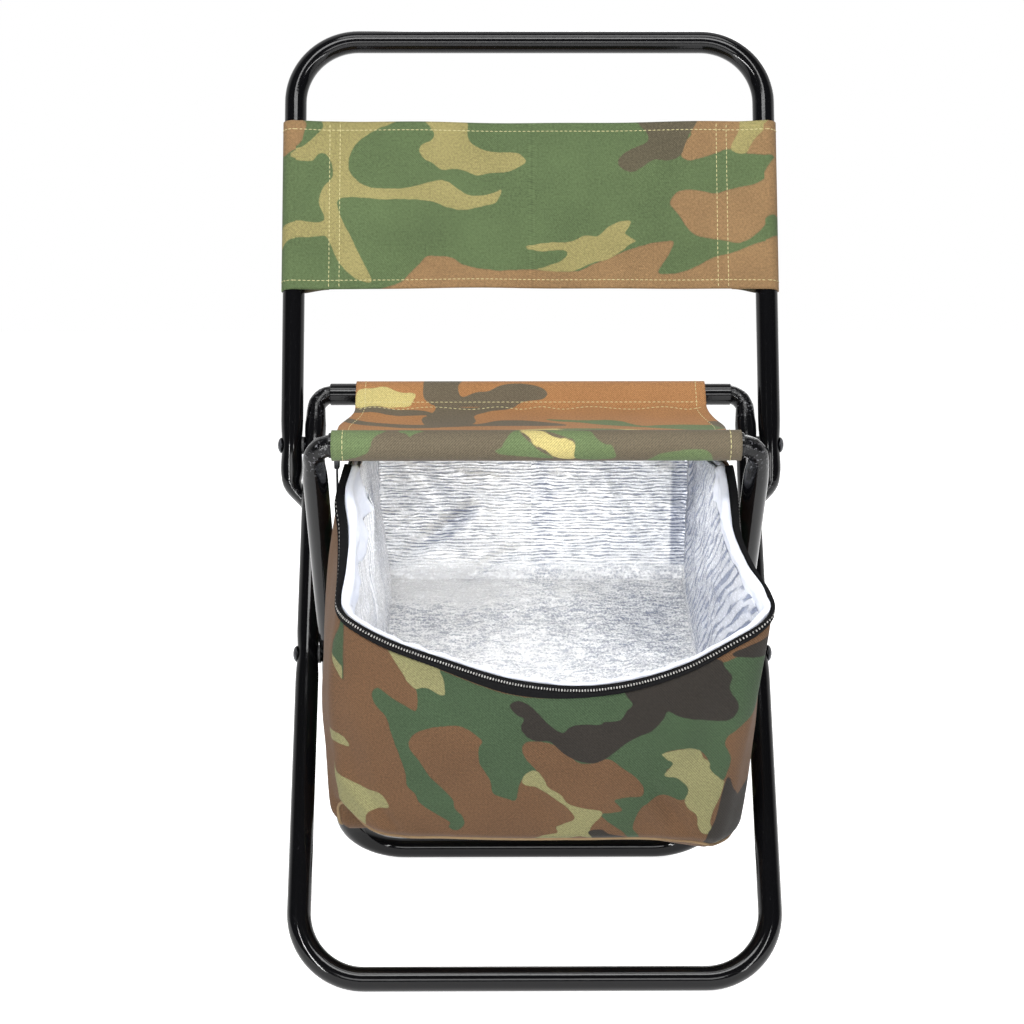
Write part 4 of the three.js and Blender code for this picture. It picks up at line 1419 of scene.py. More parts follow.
        drape = Drape(place)
        obj = grid("backrest_cloth", 320, 60, place, cloth)
        dye = Print(obj)
        dye.blobs(self.blobs)
        dye.strew(3.1, np.abs(dye.x) > 188)
        dye.store()
        smooth(obj)
        modify(obj, "SOLIDIFY", thickness=self.thickness, offset=0)
        finish_piece(obj, CLOTH, "camouflage_cloth", "backrest", ["backrest_band"])
        seams = []
        lift = self.thickness / 2
        for v in (self.hem / self.tall, 1 - self.hem / self.tall):
            run = (run_back + around * 0.35) / total
            seams.append(drape.path(spots((run, v), (1 - run, v), 240), lift))
        for x in self.columns:
            u = 0.5 + x / total
            seams.append(drape.path(spots((u, 0.01), (u, 0.99), 60), lift))
        stitches = join("backrest_stitches", [seam(f"band_seam_{n}", path)
                                              for n, path in enumerate(seams)])
        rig.ride(stitches, "backrest")
        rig.sheet(obj, (total, self.tall), "stretched", rests_on=["backrest_tube"],
                 with_pieces=[stitches])


@dataclass
class SeatCloth:
    """The seat: a sleeve on each seat bar and one sheet that sags between them."""

    thickness: float = 1.2 * MM
    rear_half: float = 126.3 * MM
    front_half: float = 127 * MM
    sag: float = 9 * MM
    stitch_away: float = 20 * MM
    stitch_drop: float = 7.4 * MM
    wrap: float = 9.0 * MM
    hem: float = 7 * MM
    flare: float = 9 * MM
    rear_blobs: tuple[Blob, ...] = (
        # rear dark
        Blob(K, (-75, -29, -51, -29, -53, -17, -50, -9, -40, -13, -31, -14, -22, -19, -12, -21, -1,
                 -20, 8, -17, 12, -12, 8, -7, -4, -5, -10, -2, -19, 5, -31, 7, -40, 12, -38, 26,
                 -48, 35, -59, 34, -71, 29, -76, 17, -71, 11, -69, 1, -77, -7, -78, -15)),
        # rear tan
        Blob(S, (-125, -15, -113, -17, -106, -18, -95, -13, -84, -12, -86, -4, -89, -1, -107, 0,
                 -125, 0, -127, -6)),
        # seam stripe
        Blob(K, (-129, 0, -95, 2, -77, 6, -69, 12, -95, 11, -113, 8, -128, 6)),
        # panel stripe
        Blob(K, (-134, 12, -124, 19, -104, 25, -77, 29, -59, 28, -37, 30, -22, 23, -1, 25, 22, 37,
                 14, 41, -40, 35, -77, 37, -104, 32, -125, 27, -134, 18)),
        # panel leaf
        Blob(L, (10, 22, 32, 25, 52, 24, 61, 27, 66, 33, 73, 38, 86, 34, 104, 31, 122, 33, 125, 45,
                 86, 44, 50, 39, 32, 31, 19, 28)),
        # panel corner
        Blob(K, (119, 26, 130, 27, 136, 47, 128, 47)),
    )
    front_blobs: tuple[Blob, ...] = (
        # left green
        Blob(L, (-128, 26, -93, 26, -95, 30, -99, 33, -101, 36, -102, 40, -107, 45, -128, 50)),
        # small green
        Blob(L, (-85, 26, -68, 26, -70, 29, -76, 32, -79, 35, -81, 31, -85, 30)),
        # middle green
        Blob(L, (-11, 26, -15, 28, -20, 35, -22, 39, -26, 41, -24, 44, 10, 48, 9, 45, 1, 40, -7,
                 33)),
        # tan
        Blob(S, (-11, 26, 2, 26, 10, 32, 23, 36, 24, 48, 12, 47, 6, 42, -1, 39, -5, 34)),
        # right green
        Blob(L, (2, 26, 30, 26, 37, 33, 42, 37, 47, 38, 48, 48, 24, 48, 23, 36, 15, 33, 9, 30)),
        # low green
        Blob(L, (69, 48, 76, 43, 86, 41, 96, 40, 106, 41, 110, 48, 106, 54, 70, 52)),
    )

    def build(self) -> None:
        """Builds the cloth, its seams, and blends them across the legs' joint."""
        rear, front = LAYOUT.rear_bar, LAYOUT.front_bar
        flat = self.stitch_flat
        seam_at = (-flat, -self.stitch_drop)
        aim = math.atan2(*seam_at[::-1])
        open_by = math.acos(self.wrap / self.stitch_away)
        tangent = self.stitch_away * math.sin(open_by)
        arc = self.wrap * (TURN - 2 * open_by)
        back_run = rear.y - front.y - 2 * flat
        loop = 2 * tangent + arc
        total = 2 * loop + back_run * 1.01

        def on_bar(angle: float) -> Pair:
            return self.wrap * math.cos(angle), self.wrap * math.sin(angle)

        def sleeve(run: float) -> Pair:
            """Back and up from the bar's centre, for a run from the sheet round to the seam.

            The run starts at the seam on top, passes over the bar, and ends under it.
            """
            if run < tangent:
                share, ends = run / tangent, (seam_at, on_bar(aim - open_by))
            elif run < tangent + arc:
                return on_bar(aim - open_by - (run - tangent) / self.wrap)
            else:
                share = min((run - tangent - arc) / tangent, 1)
                ends = (on_bar(aim + open_by), seam_at)
            return tuple(a + (b - a) * share for a, b in zip(*ends))

        def place(u: float, v: float) -> Vector:
            """From the end of the rear sleeve's underside (v=0), over the seat, to the front's."""
            run = v * total
            if run < loop:
                y, z = sleeve(loop - run)
                spot = Vector((0, rear.y + y, rear.z + z))
                half, settle = self.rear_half, 0.0
            elif run > total - loop:
                y, z = sleeve(run - (total - loop))
                spot = Vector((0, front.y - y, front.z + z))
                half, settle = self.front_half, 0.0
            else:
                share = (run - loop) / (total - 2 * loop)
                y = rear.y - flat - share * back_run
                z = rear.z - self.stitch_drop + (front.z - rear.z) * share
                z -= self.sag * (1 - (1 - 2 * share) ** 4)
                half = self.rear_half + (self.front_half - self.rear_half) * share
                settle = math.sin(math.pi * share)
                half += self.flare * ease(share / 0.22) * ease((1 - share) / 0.45)
                spot = Vector((0, y, z))
            x = (2 * u - 1) * half
            near = bump((run - loop) / (26 * MM)) if run > loop - 2 * MM else 0.0
            pucker = 0.9 * MM * near * math.sin(x / MM * 0.16 + 1.1 * math.sin(x / MM * 0.05))
            belly = 2.2 * MM * settle * math.sin(2.2 * math.pi * u + 0.4)
            edge = 1.8 * MM * settle * bump((abs(2 * u - 1) - 1) / 0.12)
            return spot + Vector((x, 0, pucker - belly + edge))

        def cloth(u: float, v: float) -> tuple[float, float]:
            return (2 * u - 1) * self.front_half, (v - 0.5) * total

        obj = grid("seat_sheet", 130, 190, place, cloth)
        self.dye(obj, (loop - total / 2) / MM)
        smooth(obj)
        modify(obj, "SOLIDIFY", thickness=self.thickness, offset=0)
        finish_piece(obj, SEAT_CLOTH, "camouflage_cloth", None, ["seat_cloth"])
        drape = Drape(place)
        lift = self.thickness / 2
        sense = 1.0 if drape.normal(0.5, 0.5).z > 0 else -1.0
        rows = []
        for run in (loop + 1.5 * MM, loop - 4.5 * MM):
            v = run / total
            rows.append(drape.path(spots((0.01, v), (0.99, v), 130), lift, sense))
            rows.append(drape.path(spots((0.01, 1 - v), (0.99, 1 - v), 130), lift, sense))
        hem = self.hem / (2 * self.front_half)
        for u in (hem, 1 - hem):
            rows.append(drape.path(spots((u, 0.12), (u, 0.95), 160), lift, sense))
        stitches = join("seat_stitches", [seam(f"seat_seam_{n}", path)
                                          for n, path in enumerate(rows)])
        start, end = self.span()
        for piece in (obj, stitches):
            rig.blend(piece, "outer_legs", "inner_legs", start=start, end=end)
        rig.sheet(obj, (2 * self.front_half, total), "stretched",
                 rests_on=["rear_seat_tube", "front_seat_tube"], with_pieces=[stitches])

    @property
    def stitch_flat(self) -> float:
        """How far in front of or behind its bar a sleeve's seam is."""
        return math.sqrt(self.stitch_away ** 2 - self.stitch_drop ** 2)

    def span(self) -> tuple[Triple, Triple]:
        """Where the sheet leaves the rear bar's sleeve, and where it reaches the front bar's."""
        rear, front = LAYOUT.rear_bar, LAYOUT.front_bar
        return (0, rear.y - self.stitch_flat, rear.z), (0, front.y + self.stitch_flat, front.z)

    def dye(self, obj: bpy.types.Object, seam_at: float) -> None:
        """Prints the rear sleeve, the sheet and the front sleeve.

        Args:
            obj: The cloth.
            seam_at: Place along the cloth of the rear sleeve's seam, in millimetres.
        """
        made = Print(obj)
        made.strew(11.4, np.abs(made.y) < -seam_at)
        made.paint(Tint.BROWN, seam_at + 52 - made.y)
        made.paint(Tint.BARK, made.y + seam_at - 6)
        made.y -= seam_at
        made.blobs(self.rear_blobs)
        made.y += 2 * seam_at
        made.blobs(self.front_blobs)
        made.store()


@dataclass(frozen=True)
class Rib:
    """One upright line of the bag: its place on the rim and on the base, and its swell."""

    rim: Triple
    base: Triple
    swell: float
    outward: tuple[float, float]


@dataclass(frozen=True)
class Crease:
    """A soft line on a wall, from one place across and up to another, in millimetres."""

    start: Pair
    end: Pair
    width: float
    amount: float

    def at(self, x: float, z: float) -> Pair:
        """Its amount at a place, and how far along the line the place is, from 0 to 1."""
        (ax, az), (bx, bz) = self.start, self.end
        dx, dz = bx - ax, bz - az
        share = min(max(((x - ax) * dx + (z - az) * dz) / (dx * dx + dz * dz), 0), 1)
        away = math.hypot(x - ax - dx * share, z - az - dz * share)
        return self.amount * bump(away / self.width), share


@dataclass
class Bag:
    """The insulated bag: cloth shell, foam, foil, zip and piping."""

    ribs: tuple[Rib, ...] = (
        Rib((0, 196, 351), (0, 186, 82), 3, (0, 1)),
        Rib((-80, 195, 351), (-80, 186, 82), 3, (0, 1)),
        Rib((-114, 194, 351), (-112, 185, 83), 1, (-0.5, 0.8)),
        Rib((-122, 186, 350), (-123, 176, 83), 1, (-1, 0.3)),
        Rib((-123, 150, 345), (-127, 140, 86), 5, (-1, 0)),
        Rib((-122, 100, 339), (-130, 90, 90), 6, (-1, 0)),
        Rib((-121, 45, 339), (-132, 55, 94), 9, (-1, 0)),
        Rib((-123, 30, 331), (-132, 45, 95), 9, (-1, 0)),
        Rib((-125, 19, 322), (-133, 38, 100), 8, (-1, 0)),
        Rib((-122, 4, 306), (-133, 31, 112), 9, (-1, 0)),
        Rib((-121, -9, 294), (-130, 26, 117), 10, (-1, 0)),
        Rib((-121, -21, 282), (-127, 21, 118), 9, (-1, -0.1)),
        Rib((-122, -31, 265), (-123, 17, 115), 7, (-0.9, -0.4)),
        Rib((-119, -36, 260), (-117, 15, 109), 5, (-0.7, -0.7)),
        Rib((-114, -39, 256), (-109, 14, 103), 5, (-0.3, -0.9)),
        Rib((-96, -40, 245.5), (-92, 13.5, 98), 6, (0, -1)),
        Rib((-59, -41, 231.5), (-58, 13, 97), 7, (0, -1)),
        Rib((-11, -41, 217), (-14, 13, 96), 8, (0, -1)),
        Rib((38, -41, 214), (28, 13, 96), 8, (0, -1)),
        Rib((88, -40, 226), (72, 13, 96), 7, (0, -1)),
        Rib((121, -40, 243.5), (100, 14, 93), 5, (0.1, -1)),
        Rib((137, -38, 253), (111, 16, 91), 4, (0.4, -0.8)),
        Rib((144, -33, 260), (118, 22, 88), 4, (0.8, -0.6)),
        Rib((142, -26, 269), (124, 34, 85), 6, (1, -0.3)),
        Rib((134, -18, 282), (131, 50, 82), 10, (1, 0)),
        Rib((127, 1, 300), (137, 66, 80), 10, (1, 0)),
        Rib((127, 12, 310), (140, 78, 79), 9, (1, 0)),
        Rib((127, 31, 328), (138, 88, 82), 8, (1, 0)),
        Rib((126, 46, 338), (137, 100, 82), 7, (1, 0)),
        Rib((123, 100, 339), (132, 130, 82), 4, (1, 0)),
        Rib((123, 150, 345), (127, 155, 82), 0, (1, 0)),
        Rib((122, 186, 350), (123, 176, 82), 1, (1, 0.3)),
        Rib((114, 194, 351), (112, 185, 82), 1, (0.5, 0.8)),
        Rib((80, 195, 351), (80, 186, 82), 3, (0, 1)),
    )
    zip_first: int = 6
    zip_last: int = 28
    front: int = 18
    shell: float = 1.1 * MM
    tooth_pitch: float = 1.65
    tooth_spot: Pair = (1.15, 0.55)
    # Shares of the grids' rows that are wall on the shell and on the foil, and outside on the foam
    shell_wall: float = 0.86
    foil_wall: float = 0.62
    foam_outside: float = 0.42
    foam_lip: float = 0.12
    # Measures in millimetres at ribs: foam shown over the foil, the foil's lean, tape shown
    foam_shown: tuple[Pair, ...] = (
        (6, 25), (8, 24), (10, 15), (12, 11), (13, 9), (15, 7.5), (17, 6.5), (19, 7), (21, 9),
        (23, 7), (24.5, 4), (26.5, 10), (28, 17))
    foil_lean: tuple[Pair, ...] = (
        (6, 17), (7, 9), (8, 12), (9.5, 5), (10.5, 7), (12, 3), (13, 1.5), (14, 0), (22, 0),
        (23.5, 0), (26, 2), (28, 4))
    tape_shown: tuple[Pair, ...] = (
        (6, 2), (8, 2.5), (10, 2.5), (11.5, 1), (12.5, 0), (23, 0), (26, 2), (28, 3))
    shell_folds: tuple[Crease, ...] = (
        Crease((70, 148), (101, 96), 9, -4.5), Crease((60, 150), (92, 97), 10, 2.5),
        Crease((-118, 190), (-112, 120), 14, -3.0), Crease((-126, 150), (-96, 100), 8, 2.6),
        Crease((-106, 134), (-86, 98), 7, -3.8), Crease((-30, 215), (-64, 120), 22, 1.8),
        Crease((30, 190), (62, 120), 16, 1.6), Crease((110, 235), (84, 150), 14, 2.0),
        Crease((-10, 160), (20, 98), 14, -1.8), Crease((-80, 240), (-40, 180), 12, -1.5))
    foil_folds: tuple[Crease, ...] = (
        Crease((-44, 285), (-95, 248), 9, 3.4), Crease((-73, 218), (-15, 255), 8, 3.0),
        Crease((10, 345), (9, 215), 11, -2.2), Crease((-15, 255), (40, 262), 10, 2.0),
        Crease((60, 330), (90, 250), 13, -2.0), Crease((-90, 330), (-60, 285), 9, -2.4))
    # Painted light of the foil: lines and spots made brighter or darker in its colour, in place of its reflections and
    # shade
    foil_tones: tuple[Crease, ...] = (
        Crease((-85, 232), (-50, 226), 30, 1.0), Crease((-44, 283), (-93, 246), 10, -0.7),
        Crease((-73, 216), (-15, 253), 5, -0.6), Crease((10, 345), (9, 215), 14, -0.5),
        Crease((55, 330), (70, 250), 50, -0.35), Crease((-100, 345), (110, 345), 22, -0.3),
        Crease((-30, 300), (-25, 240), 26, 0.4), Crease((-70, 236), (80, 236), 34, 0.5))
    blobs: tuple[Blob, ...] = (
        # leaf left
        Blob(L, (-83, 239, -58, 226, -8, 209, 53, 213, 114, 230, 145, 244, 140, 220, 137, 208, 136,
                 196, 125, 182, 119, 177, 118, 171, 122, 160, 120, 149, 117, 144, 110, 153, 109,
                 159, 103, 168, 92, 171, 80, 168, 86, 160, 82, 154, 90, 148, 96, 142, 97, 134, 92,
                 131, 83, 135, 75, 133, 70, 129, 67, 125, 64, 117, 63, 108, 67, 102, 67, 95, 62,
                 96, 57, 105, 48, 113, 42, 121, 48, 122, 55, 124, 53, 128, 50, 133, 58, 135, 67,
                 136, 68, 142, 63, 150, 55, 157, 45, 165, 36, 162, 27, 162, 19, 169, 10, 176, 0,
                 178, -7, 177, -9, 171, -6, 164, 0, 156, -4, 155, -9, 149, -11, 143, -13, 133, -18,
                 134, -27, 138, -29, 148, -32, 154, -36, 163, -36, 173, -34, 178, -40, 184, -48,
                 188, -62, 187, -74, 183, -80, 176, -79, 169, -73, 160, -68, 151, -59, 141, -53,
                 133, -52, 126, -47, 119, -46, 112, -51, 107, -56, 110, -55, 114, -60, 118, -68,
                 124, -75, 130, -77, 136, -82, 142, -83, 152, -87, 167, -91, 181, -94, 193, -100,
                 201, -102, 209, -98, 213, -91, 207, -83, 202, -75, 198, -74, 210, -79, 221)),
        # dark long
        Blob(K, (-17, 203, -14, 206, -10, 206, -4, 203, 3, 195, 10, 188, 16, 184, 20, 188, 27, 190,
                 39, 190, 42, 192, 51, 193, 55, 199, 59, 204, 54, 211, 53, 218, 73, 224, 93, 230,
                 110, 233, 116, 226, 120, 220, 119, 211, 124, 202, 125, 196, 121, 190, 114, 189,
                 104, 191, 93, 193, 87, 195, 81, 198, 78, 192, 72, 185, 60, 179, 52, 173, 44, 166,
                 35, 162, 25, 164, 16, 170, 8, 178, 0, 178, -7, 182, -10, 188, -8, 194, -13, 197)),
        # dark corner
        Blob(K, (121, 237, 143, 246, 145, 239, 135, 232, 125, 233)),
        # top tan
        Blob(S, (-92, 242, -82, 239, -63, 233, -59, 224, -57, 216, -57, 209, -62, 210, -66, 213,
                 -70, 214, -75, 213, -80, 218, -83, 224, -87, 231)),
        # left tan
        Blob(S, (-135, 185, -127, 179, -120, 176, -117, 168, -123, 170, -135, 171)),
        # low left tan
        Blob(S, (-128, 155, -124, 148, -117, 142, -108, 138, -99, 135, -94, 125, -102, 123, -108,
                 119, -110, 109, -115, 106, -123, 113, -128, 120, -125, 130, -125, 143)),
        # centre tan
        Blob(S, (-9, 147, -6, 154, 0, 156, 4, 151, 8, 143, 15, 138, 20, 131, 28, 127, 41, 124, 42,
                 120, 36, 111, 35, 105, 37, 99, 29, 102, 23, 100, 12, 94, 2, 94, -1, 98, 5, 103,
                 14, 105, 13, 110, 18, 113, 25, 118, 20, 127, 11, 135, 0, 143, -5, 144)),
        # right tan
        Blob(S, (79, 168, 92, 171, 102, 169, 105, 163, 109, 159, 110, 153, 117, 145, 119, 143, 116,
                 130, 113, 121, 112, 112, 114, 105, 109, 103, 105, 108, 103, 119, 98, 124, 95, 131,
                 97, 139, 90, 148, 81, 151, 86, 160, 81, 164)),
        # low dark
        Blob(K, (34, 106, 42, 108, 48, 104, 57, 101, 61, 95, 60, 87, 40, 87, 37, 100)),
        # low right dark
        Blob(K, (121, 146, 125, 135, 129, 122, 133, 107, 129, 95, 114, 92, 111, 100, 115, 114, 117,
                 129)),
        # small brown
        Blob(B, (119, 177, 126, 181, 125, 170, 119, 171)),
    )

    def __post_init__(self) -> None:
        """Works out a smooth closed run of the ribs, by their distance round the rim."""
        rows = [[*rib.rim, *rib.base, rib.swell, *rib.outward] for rib in self.ribs]
        self.rows = np.array(rows + [rows[0]], float)
        middles = (self.rows[:, :3] + self.rows[:, 3:6]) / 2
        steps = np.linalg.norm(np.diff(middles, axis=0), axis=1)
        self.runs = np.concatenate([[0], np.cumsum(steps)])
        self.around = float(self.runs[-1])

    def row(self, run: float) -> np.ndarray:
        """The rib at a distance round the bag in millimetres, smoothly between its neighbours."""
        run %= self.around
        count = len(self.ribs)
        k = min(max(int(np.searchsorted(self.runs, run, side="right") - 1), 0), count - 1)
        width = self.runs[k + 1] - self.runs[k]
        t = (run - self.runs[k]) / width
        p0, p1 = self.rows[(k - 1) % count], self.rows[k]
        p2, p3 = self.rows[(k + 1) % count], self.rows[(k + 2) % count]
        before = self.runs[k] - self.runs[k - 1] if k else self.runs[count] - self.runs[count - 1]
        after = self.runs[k + 2] - self.runs[k + 1] if k + 2 <= count else self.runs[1]
        m1 = ((p2 - p1) / width + (p1 - p0) / before) / 2
        m2 = ((p3 - p2) / after + (p2 - p1) / width) / 2
        t2, t3 = t * t, t * t * t
        return ((2 * t3 - 3 * t2 + 1) * p1 + (t3 - 2 * t2 + t) * width * m1
                + (-2 * t3 + 3 * t2) * p2 + (t3 - t2) * width * m2)

    def wall(self, run: float, drop: float, inset: float = 0.0) -> Vector:
        """Point on the bag's wall.

        Args:
            run: Distance round the bag, in millimetres.
            drop: Share of the way down from the rim to the base.
            inset: How far inside the shell, in millimetres.

        Returns:
            The point, in metres in the row frame.
        """
        row = self.row(run)
        rim, base = row[:3], row[3:6]
        point = rim + (base - rim) * drop
        push = row[6] * math.sin(math.pi * min(drop, 1)) ** 0.8 if 0 < drop < 1 else 0.0
        push += self.folds(point) * math.sin(math.pi * min(max(drop, 0), 1)) ** 0.4
        round_in = 7.0 * ease((drop - 0.93) / 0.07) ** 2
        point[:2] += self.outward(row) * (push - inset - round_in)
        return LAYOUT.at(*point)

    @staticmethod
    def outward(row: np.ndarray) -> np.ndarray:
        """Outward direction of a rib in the floor's plane, with a length of 1."""
        return row[7:9] / max(np.linalg.norm(row[7:9]), 1e-6)

    def folds(self, point: np.ndarray) -> float:
        """Soft folds of the shell, in millimetres, at a place in millimetres."""
        x, y, z = point
        made = 1.6 * noise.noise(Vector((x * 0.018, y * 0.018, z * 0.022)))
        if y > 60:
            return made
        for fold in self.shell_folds:
            depth, share = fold.at(x, z)
            made += depth * bump((share - 0.55) / 0.75)
        return made

    def run_of(self, rib: float) -> float:
        """Distance round the bag of a rib, counted with shares between ribs."""
        k = int(rib)
        return self.runs[k] + (self.runs[k + 1] - self.runs[k]) * (rib - k)

    def between(self, run: float, measure: Sequence[Pair]) -> float:
        """A measure that is given at ribs, at a distance round the bag."""
        ribs, values = zip(*measure)
        return float(np.interp(run, [self.run_of(rib) for rib in ribs], values))

    def build(self) -> None:
        """Builds the layers, the zip and the piping, and folds them with the legs."""
        made = [self.build_shell(), self.build_foam(), self.build_foil(), *self.build_zip(),
                self.build_piping()]
        start, end = SeatCloth().span()
        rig.blend(self.build_seat_zip(), "outer_legs", "inner_legs", start=start, end=end)
        normal = (LAYOUT.rear_bar - LAYOUT.down(LAYOUT.rear_bar)).normalized()
        axis = Vector((0, normal.z, -normal.y))
        for piece in made:
            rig.squash(piece, "legs_fold", axis=tuple(axis), anchor=tuple(LAYOUT.cross), keep=0.14)
        shell, foam, foil = made[:3]
        girth, tall, area = self.cut(self.rows[:, :3], self.rows[:, 3:6])
        log.info("bag cloth cut %.3f by %.3f, %.4f square metres", girth, tall, area)
        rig.sheet(shell, (girth, tall), "hung", rests_on=["seat_sheet"], area=area,
                 with_pieces=[made[3], made[4]])
        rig.padded(foam, fill=0.3)
        tops, feet = (np.array(rows) for rows in zip(*map(self.foil_ends, self.runs)))
        girth, tall, area = self.cut(tops, feet)
        log.info("foil cut %.3f by %.3f, %.4f square metres", girth, tall, area)
        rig.sheet(foil, (girth, tall), "hung", rests_on=["foam_layer"], area=area)

    def cut(self, tops: np.ndarray, feet: np.ndarray) -> tuple[float, float, float]:
        """Flat size of a layer that runs round the bag and closes over its base.

        Args:
            tops: Places of its upper edge at the ribs, in millimetres.
            feet: Places of its foot.

        Returns:
            Its width, its length and its flat area, in metres and square metres.
        """
        upper = np.linalg.norm(np.diff(tops, axis=0), axis=1)
        lower = np.linalg.norm(np.diff(feet, axis=0), axis=1)
        drops = np.linalg.norm(tops - feet, axis=1)
        walls = float(np.sum((upper + lower) / 2 * (drops[1:] + drops[:-1]) / 2))
        x, y = feet[:, 0], feet[:, 1]
        base = abs(float(np.sum(x[:-1] * y[1:] - x[1:] * y[:-1]))) / 2
        tall = float(drops.max() + np.ptp(y) / 2)
        girth = float(max(upper.sum(), lower.sum()))
        return girth * MM, tall * MM, (walls + base) * MM * MM

    def build_shell(self) -> bpy.types.Object:
        """The outer cloth with its base."""
        def drop(run: float, v: float) -> float:
            row = self.row(run)
            start = 5.0 * self.zip_share(run) / np.linalg.norm(row[3:6] - row[:3])
            return start + (1 - start) * v / self.shell_wall

        def base(v: float) -> float:
            return (v - self.shell_wall) / (1 - self.shell_wall)

        def place(u: float, v: float) -> Vector:
            run = self.spread(u)
            if v <= self.shell_wall:
                return self.wall(run, drop(run, v))
            share = base(v)
            point = self.wall(run, 1.0).lerp(LAYOUT.at(0, 98, 87), share)
            point.z -= 3 * MM * math.sin(math.pi * min(share * 1.2, 1)) * (1 - share)
            return point

        def cloth(u: float, v: float) -> tuple[float, float]:
            run = self.spread(u)
            row = self.row(run)
            high = row[2] + (row[5] - row[2]) * drop(run, v) if v <= self.shell_wall \
                else row[5] - 130 * base(v)
            return (run - self.run_of(self.front)) * MM, high * MM

        obj = grid("bag_cloth", 390, 116, place, cloth)
        self.dye(obj)
        tidy(obj, MERGE)
        smooth(obj)
        modify(obj, "SOLIDIFY", thickness=self.shell, offset=-1)
        return finish_piece(obj, BAG_CLOTH, "camouflage_cloth", "outer_legs", ["bag_shell"])

    def spread(self, u: float) -> float:
        """Distance round the bag for a share of the shell's columns, closer on the front."""
        centre = self.run_of(self.front) / self.around
        return self.around * (u - 0.45 * math.sin(TURN * (u - centre)) / TURN)

    def zip_share(self, run: float) -> float:
        """1 where the zip is, 0 behind its ends, with a short step between."""
        first, last = self.run_of(self.zip_first), self.run_of(self.zip_last)
        return ease((run - first) / 6) * ease((last - run) / 6)

    def dye(self, obj: bpy.types.Object) -> None:
        """Prints the shell: its front as in the photo, its sides, back and base strewn."""
        made = Print(obj)
        first, last = (self.run_of(rib) - self.run_of(self.front) for rib in (13.2, 22.4))
        made.strew(5.7, (made.x < first) | (made.x > last))
        made.paint(Tint.BROWN, np.minimum(made.x - first, last - made.x))
        wave = 9 * np.sin(made.y * 0.043) + 5 * np.sin(made.y * 0.11 + made.x * 0.05)
        right, left = made.x - last + wave, first - made.x + wave
        for tint, reach, start, width, beyond in (
            (Tint.BROWN, right, 0, 64, made.y - 118),
            (Tint.BARK, right, 0, 40, 128 + right * 0.4 - made.y),
            (Tint.BROWN, left, 0, 70, 312 + wave - made.y),
            (Tint.LEAF, left, 30, 120, made.y - 316 - wave),
        ):
            made.paint(tint, np.minimum(np.minimum(reach - start, width - reach), beyond))
        made.blobs([self.front_place(blob) for blob in self.blobs])
        made.store()

    def front_place(self, blob: Blob) -> Blob:
        """A blob of the front, moved from its distance across to its distance round."""
        runs = np.linspace(self.run_of(11.5), self.run_of(24.5), 120)
        rows = np.array([self.row(run) for run in runs])
        made = []
        for x, z in np.array(blob.outline, float).reshape(-1, 2):
            share = (rows[:, 2] - z) / (rows[:, 2] - rows[:, 5])
            found = rows[:, 0] + (rows[:, 3] - rows[:, 0]) * share
            order = np.argsort(found)
            across = float(np.interp(x, found[order], runs[order]))
            made += [across - self.run_of(self.front), z]
        return Blob(blob.tint, tuple(made))

    def floor_height(self, y: float) -> float:
        """Height of the lining's raised floor, which rises towards the back, in millimetres."""
        return 165 + (236 - 165) * min(max(y / 186, -0.3), 1.05)

    @staticmethod
    def lumps(run: float, seed: float) -> float:
        """Uneven lumps along the rim, from about -1.5 to 1.5."""
        return noise.noise(Vector((run * 0.045, seed, 0))) \
            + 0.6 * noise.noise(Vector((run * 0.13, seed + 4, 0)))

    def shown_foam(self, run: float) -> float:
        """Height of the foam strip between the zip and the foil's edge, in millimetres."""
        return self.between(run, self.foam_shown) + 1.6 * self.lumps(run, 1.7)

    def lean(self, run: float) -> float:
        """How far the foil's edge stands in from the wall, in millimetres."""
        return self.between(run, self.foil_lean) * (1 + 0.3 * self.lumps(run, 6.2))

    def tape_width(self, run: float) -> float:
        """Width of black tape between the zip's teeth and the foam, in millimetres."""
        return self.between(run, self.tape_shown)

    def build_foam(self) -> bpy.types.Object:
        """The white foam, whose puffy rim shows inside the zip."""
        layer, outside = 3.4, 1.8
        inside = self.foam_outside + self.foam_lip

        def place(u: float, v: float) -> Vector:
            run = u * self.around
            row = self.row(run)
            zipped = self.zip_share(run)
            lip = (3.2 + 2.6 * self.lumps(run, 3.1)) * zipped - 3 * (1 - zipped)
            length = row[2] - row[5]
            floor = self.floor_height(row[1] * 0.4 + row[4] * 0.6)
            top, deep = -lip / length, (row[2] - floor) / length
            thick = layer + (2.2 + 1.8 * self.lumps(run, 8.3)) * zipped
            lean, gap = self.lean(run) * zipped, self.tape_width(run) * zipped
            if v < self.foam_outside:
                down = top + (deep - top) * (1 - v / self.foam_outside)
                return self.wall(run, down, outside + gap * ease(1 - down * length / 24))
            if v < inside:
                angle = math.pi * (v - self.foam_outside) / self.foam_lip
                crest = lip + thick * 0.42 * math.sin(angle)
                away = outside + gap + thick / 2 * (1 - math.cos(angle))
                return self.wall(run, -crest / length, away)
            down = top + (deep - top) * ((v - inside) / (1 - inside)) ** 1.6
            depth, shown = down * length, self.shown_foam(run)
            past = ease((depth - shown + 1) / 9)
            wander = noise.noise(Vector((run * 0.08, down * 14, 2)))
            wander += 0.5 * noise.noise(Vector((run * 0.2, down * 30, 6)))
            swell = thick + (layer - thick) * past + 2.4 * wander * (1 - 0.85 * past)
            inward = lean * min(max(depth / shown, 0), 1)
            inward = (inward + gap) * (1 - ease((depth - shown - 2) / 60))
            return self.wall(run, down, outside + max(swell, 2.0) + inward)

        obj = grid("foam_layer", 420, 84, place)
        tidy(obj, MERGE)
        smooth(obj)
        return finish_piece(obj, FOAM, "white_foam", "outer_legs", ["foam_lining"])

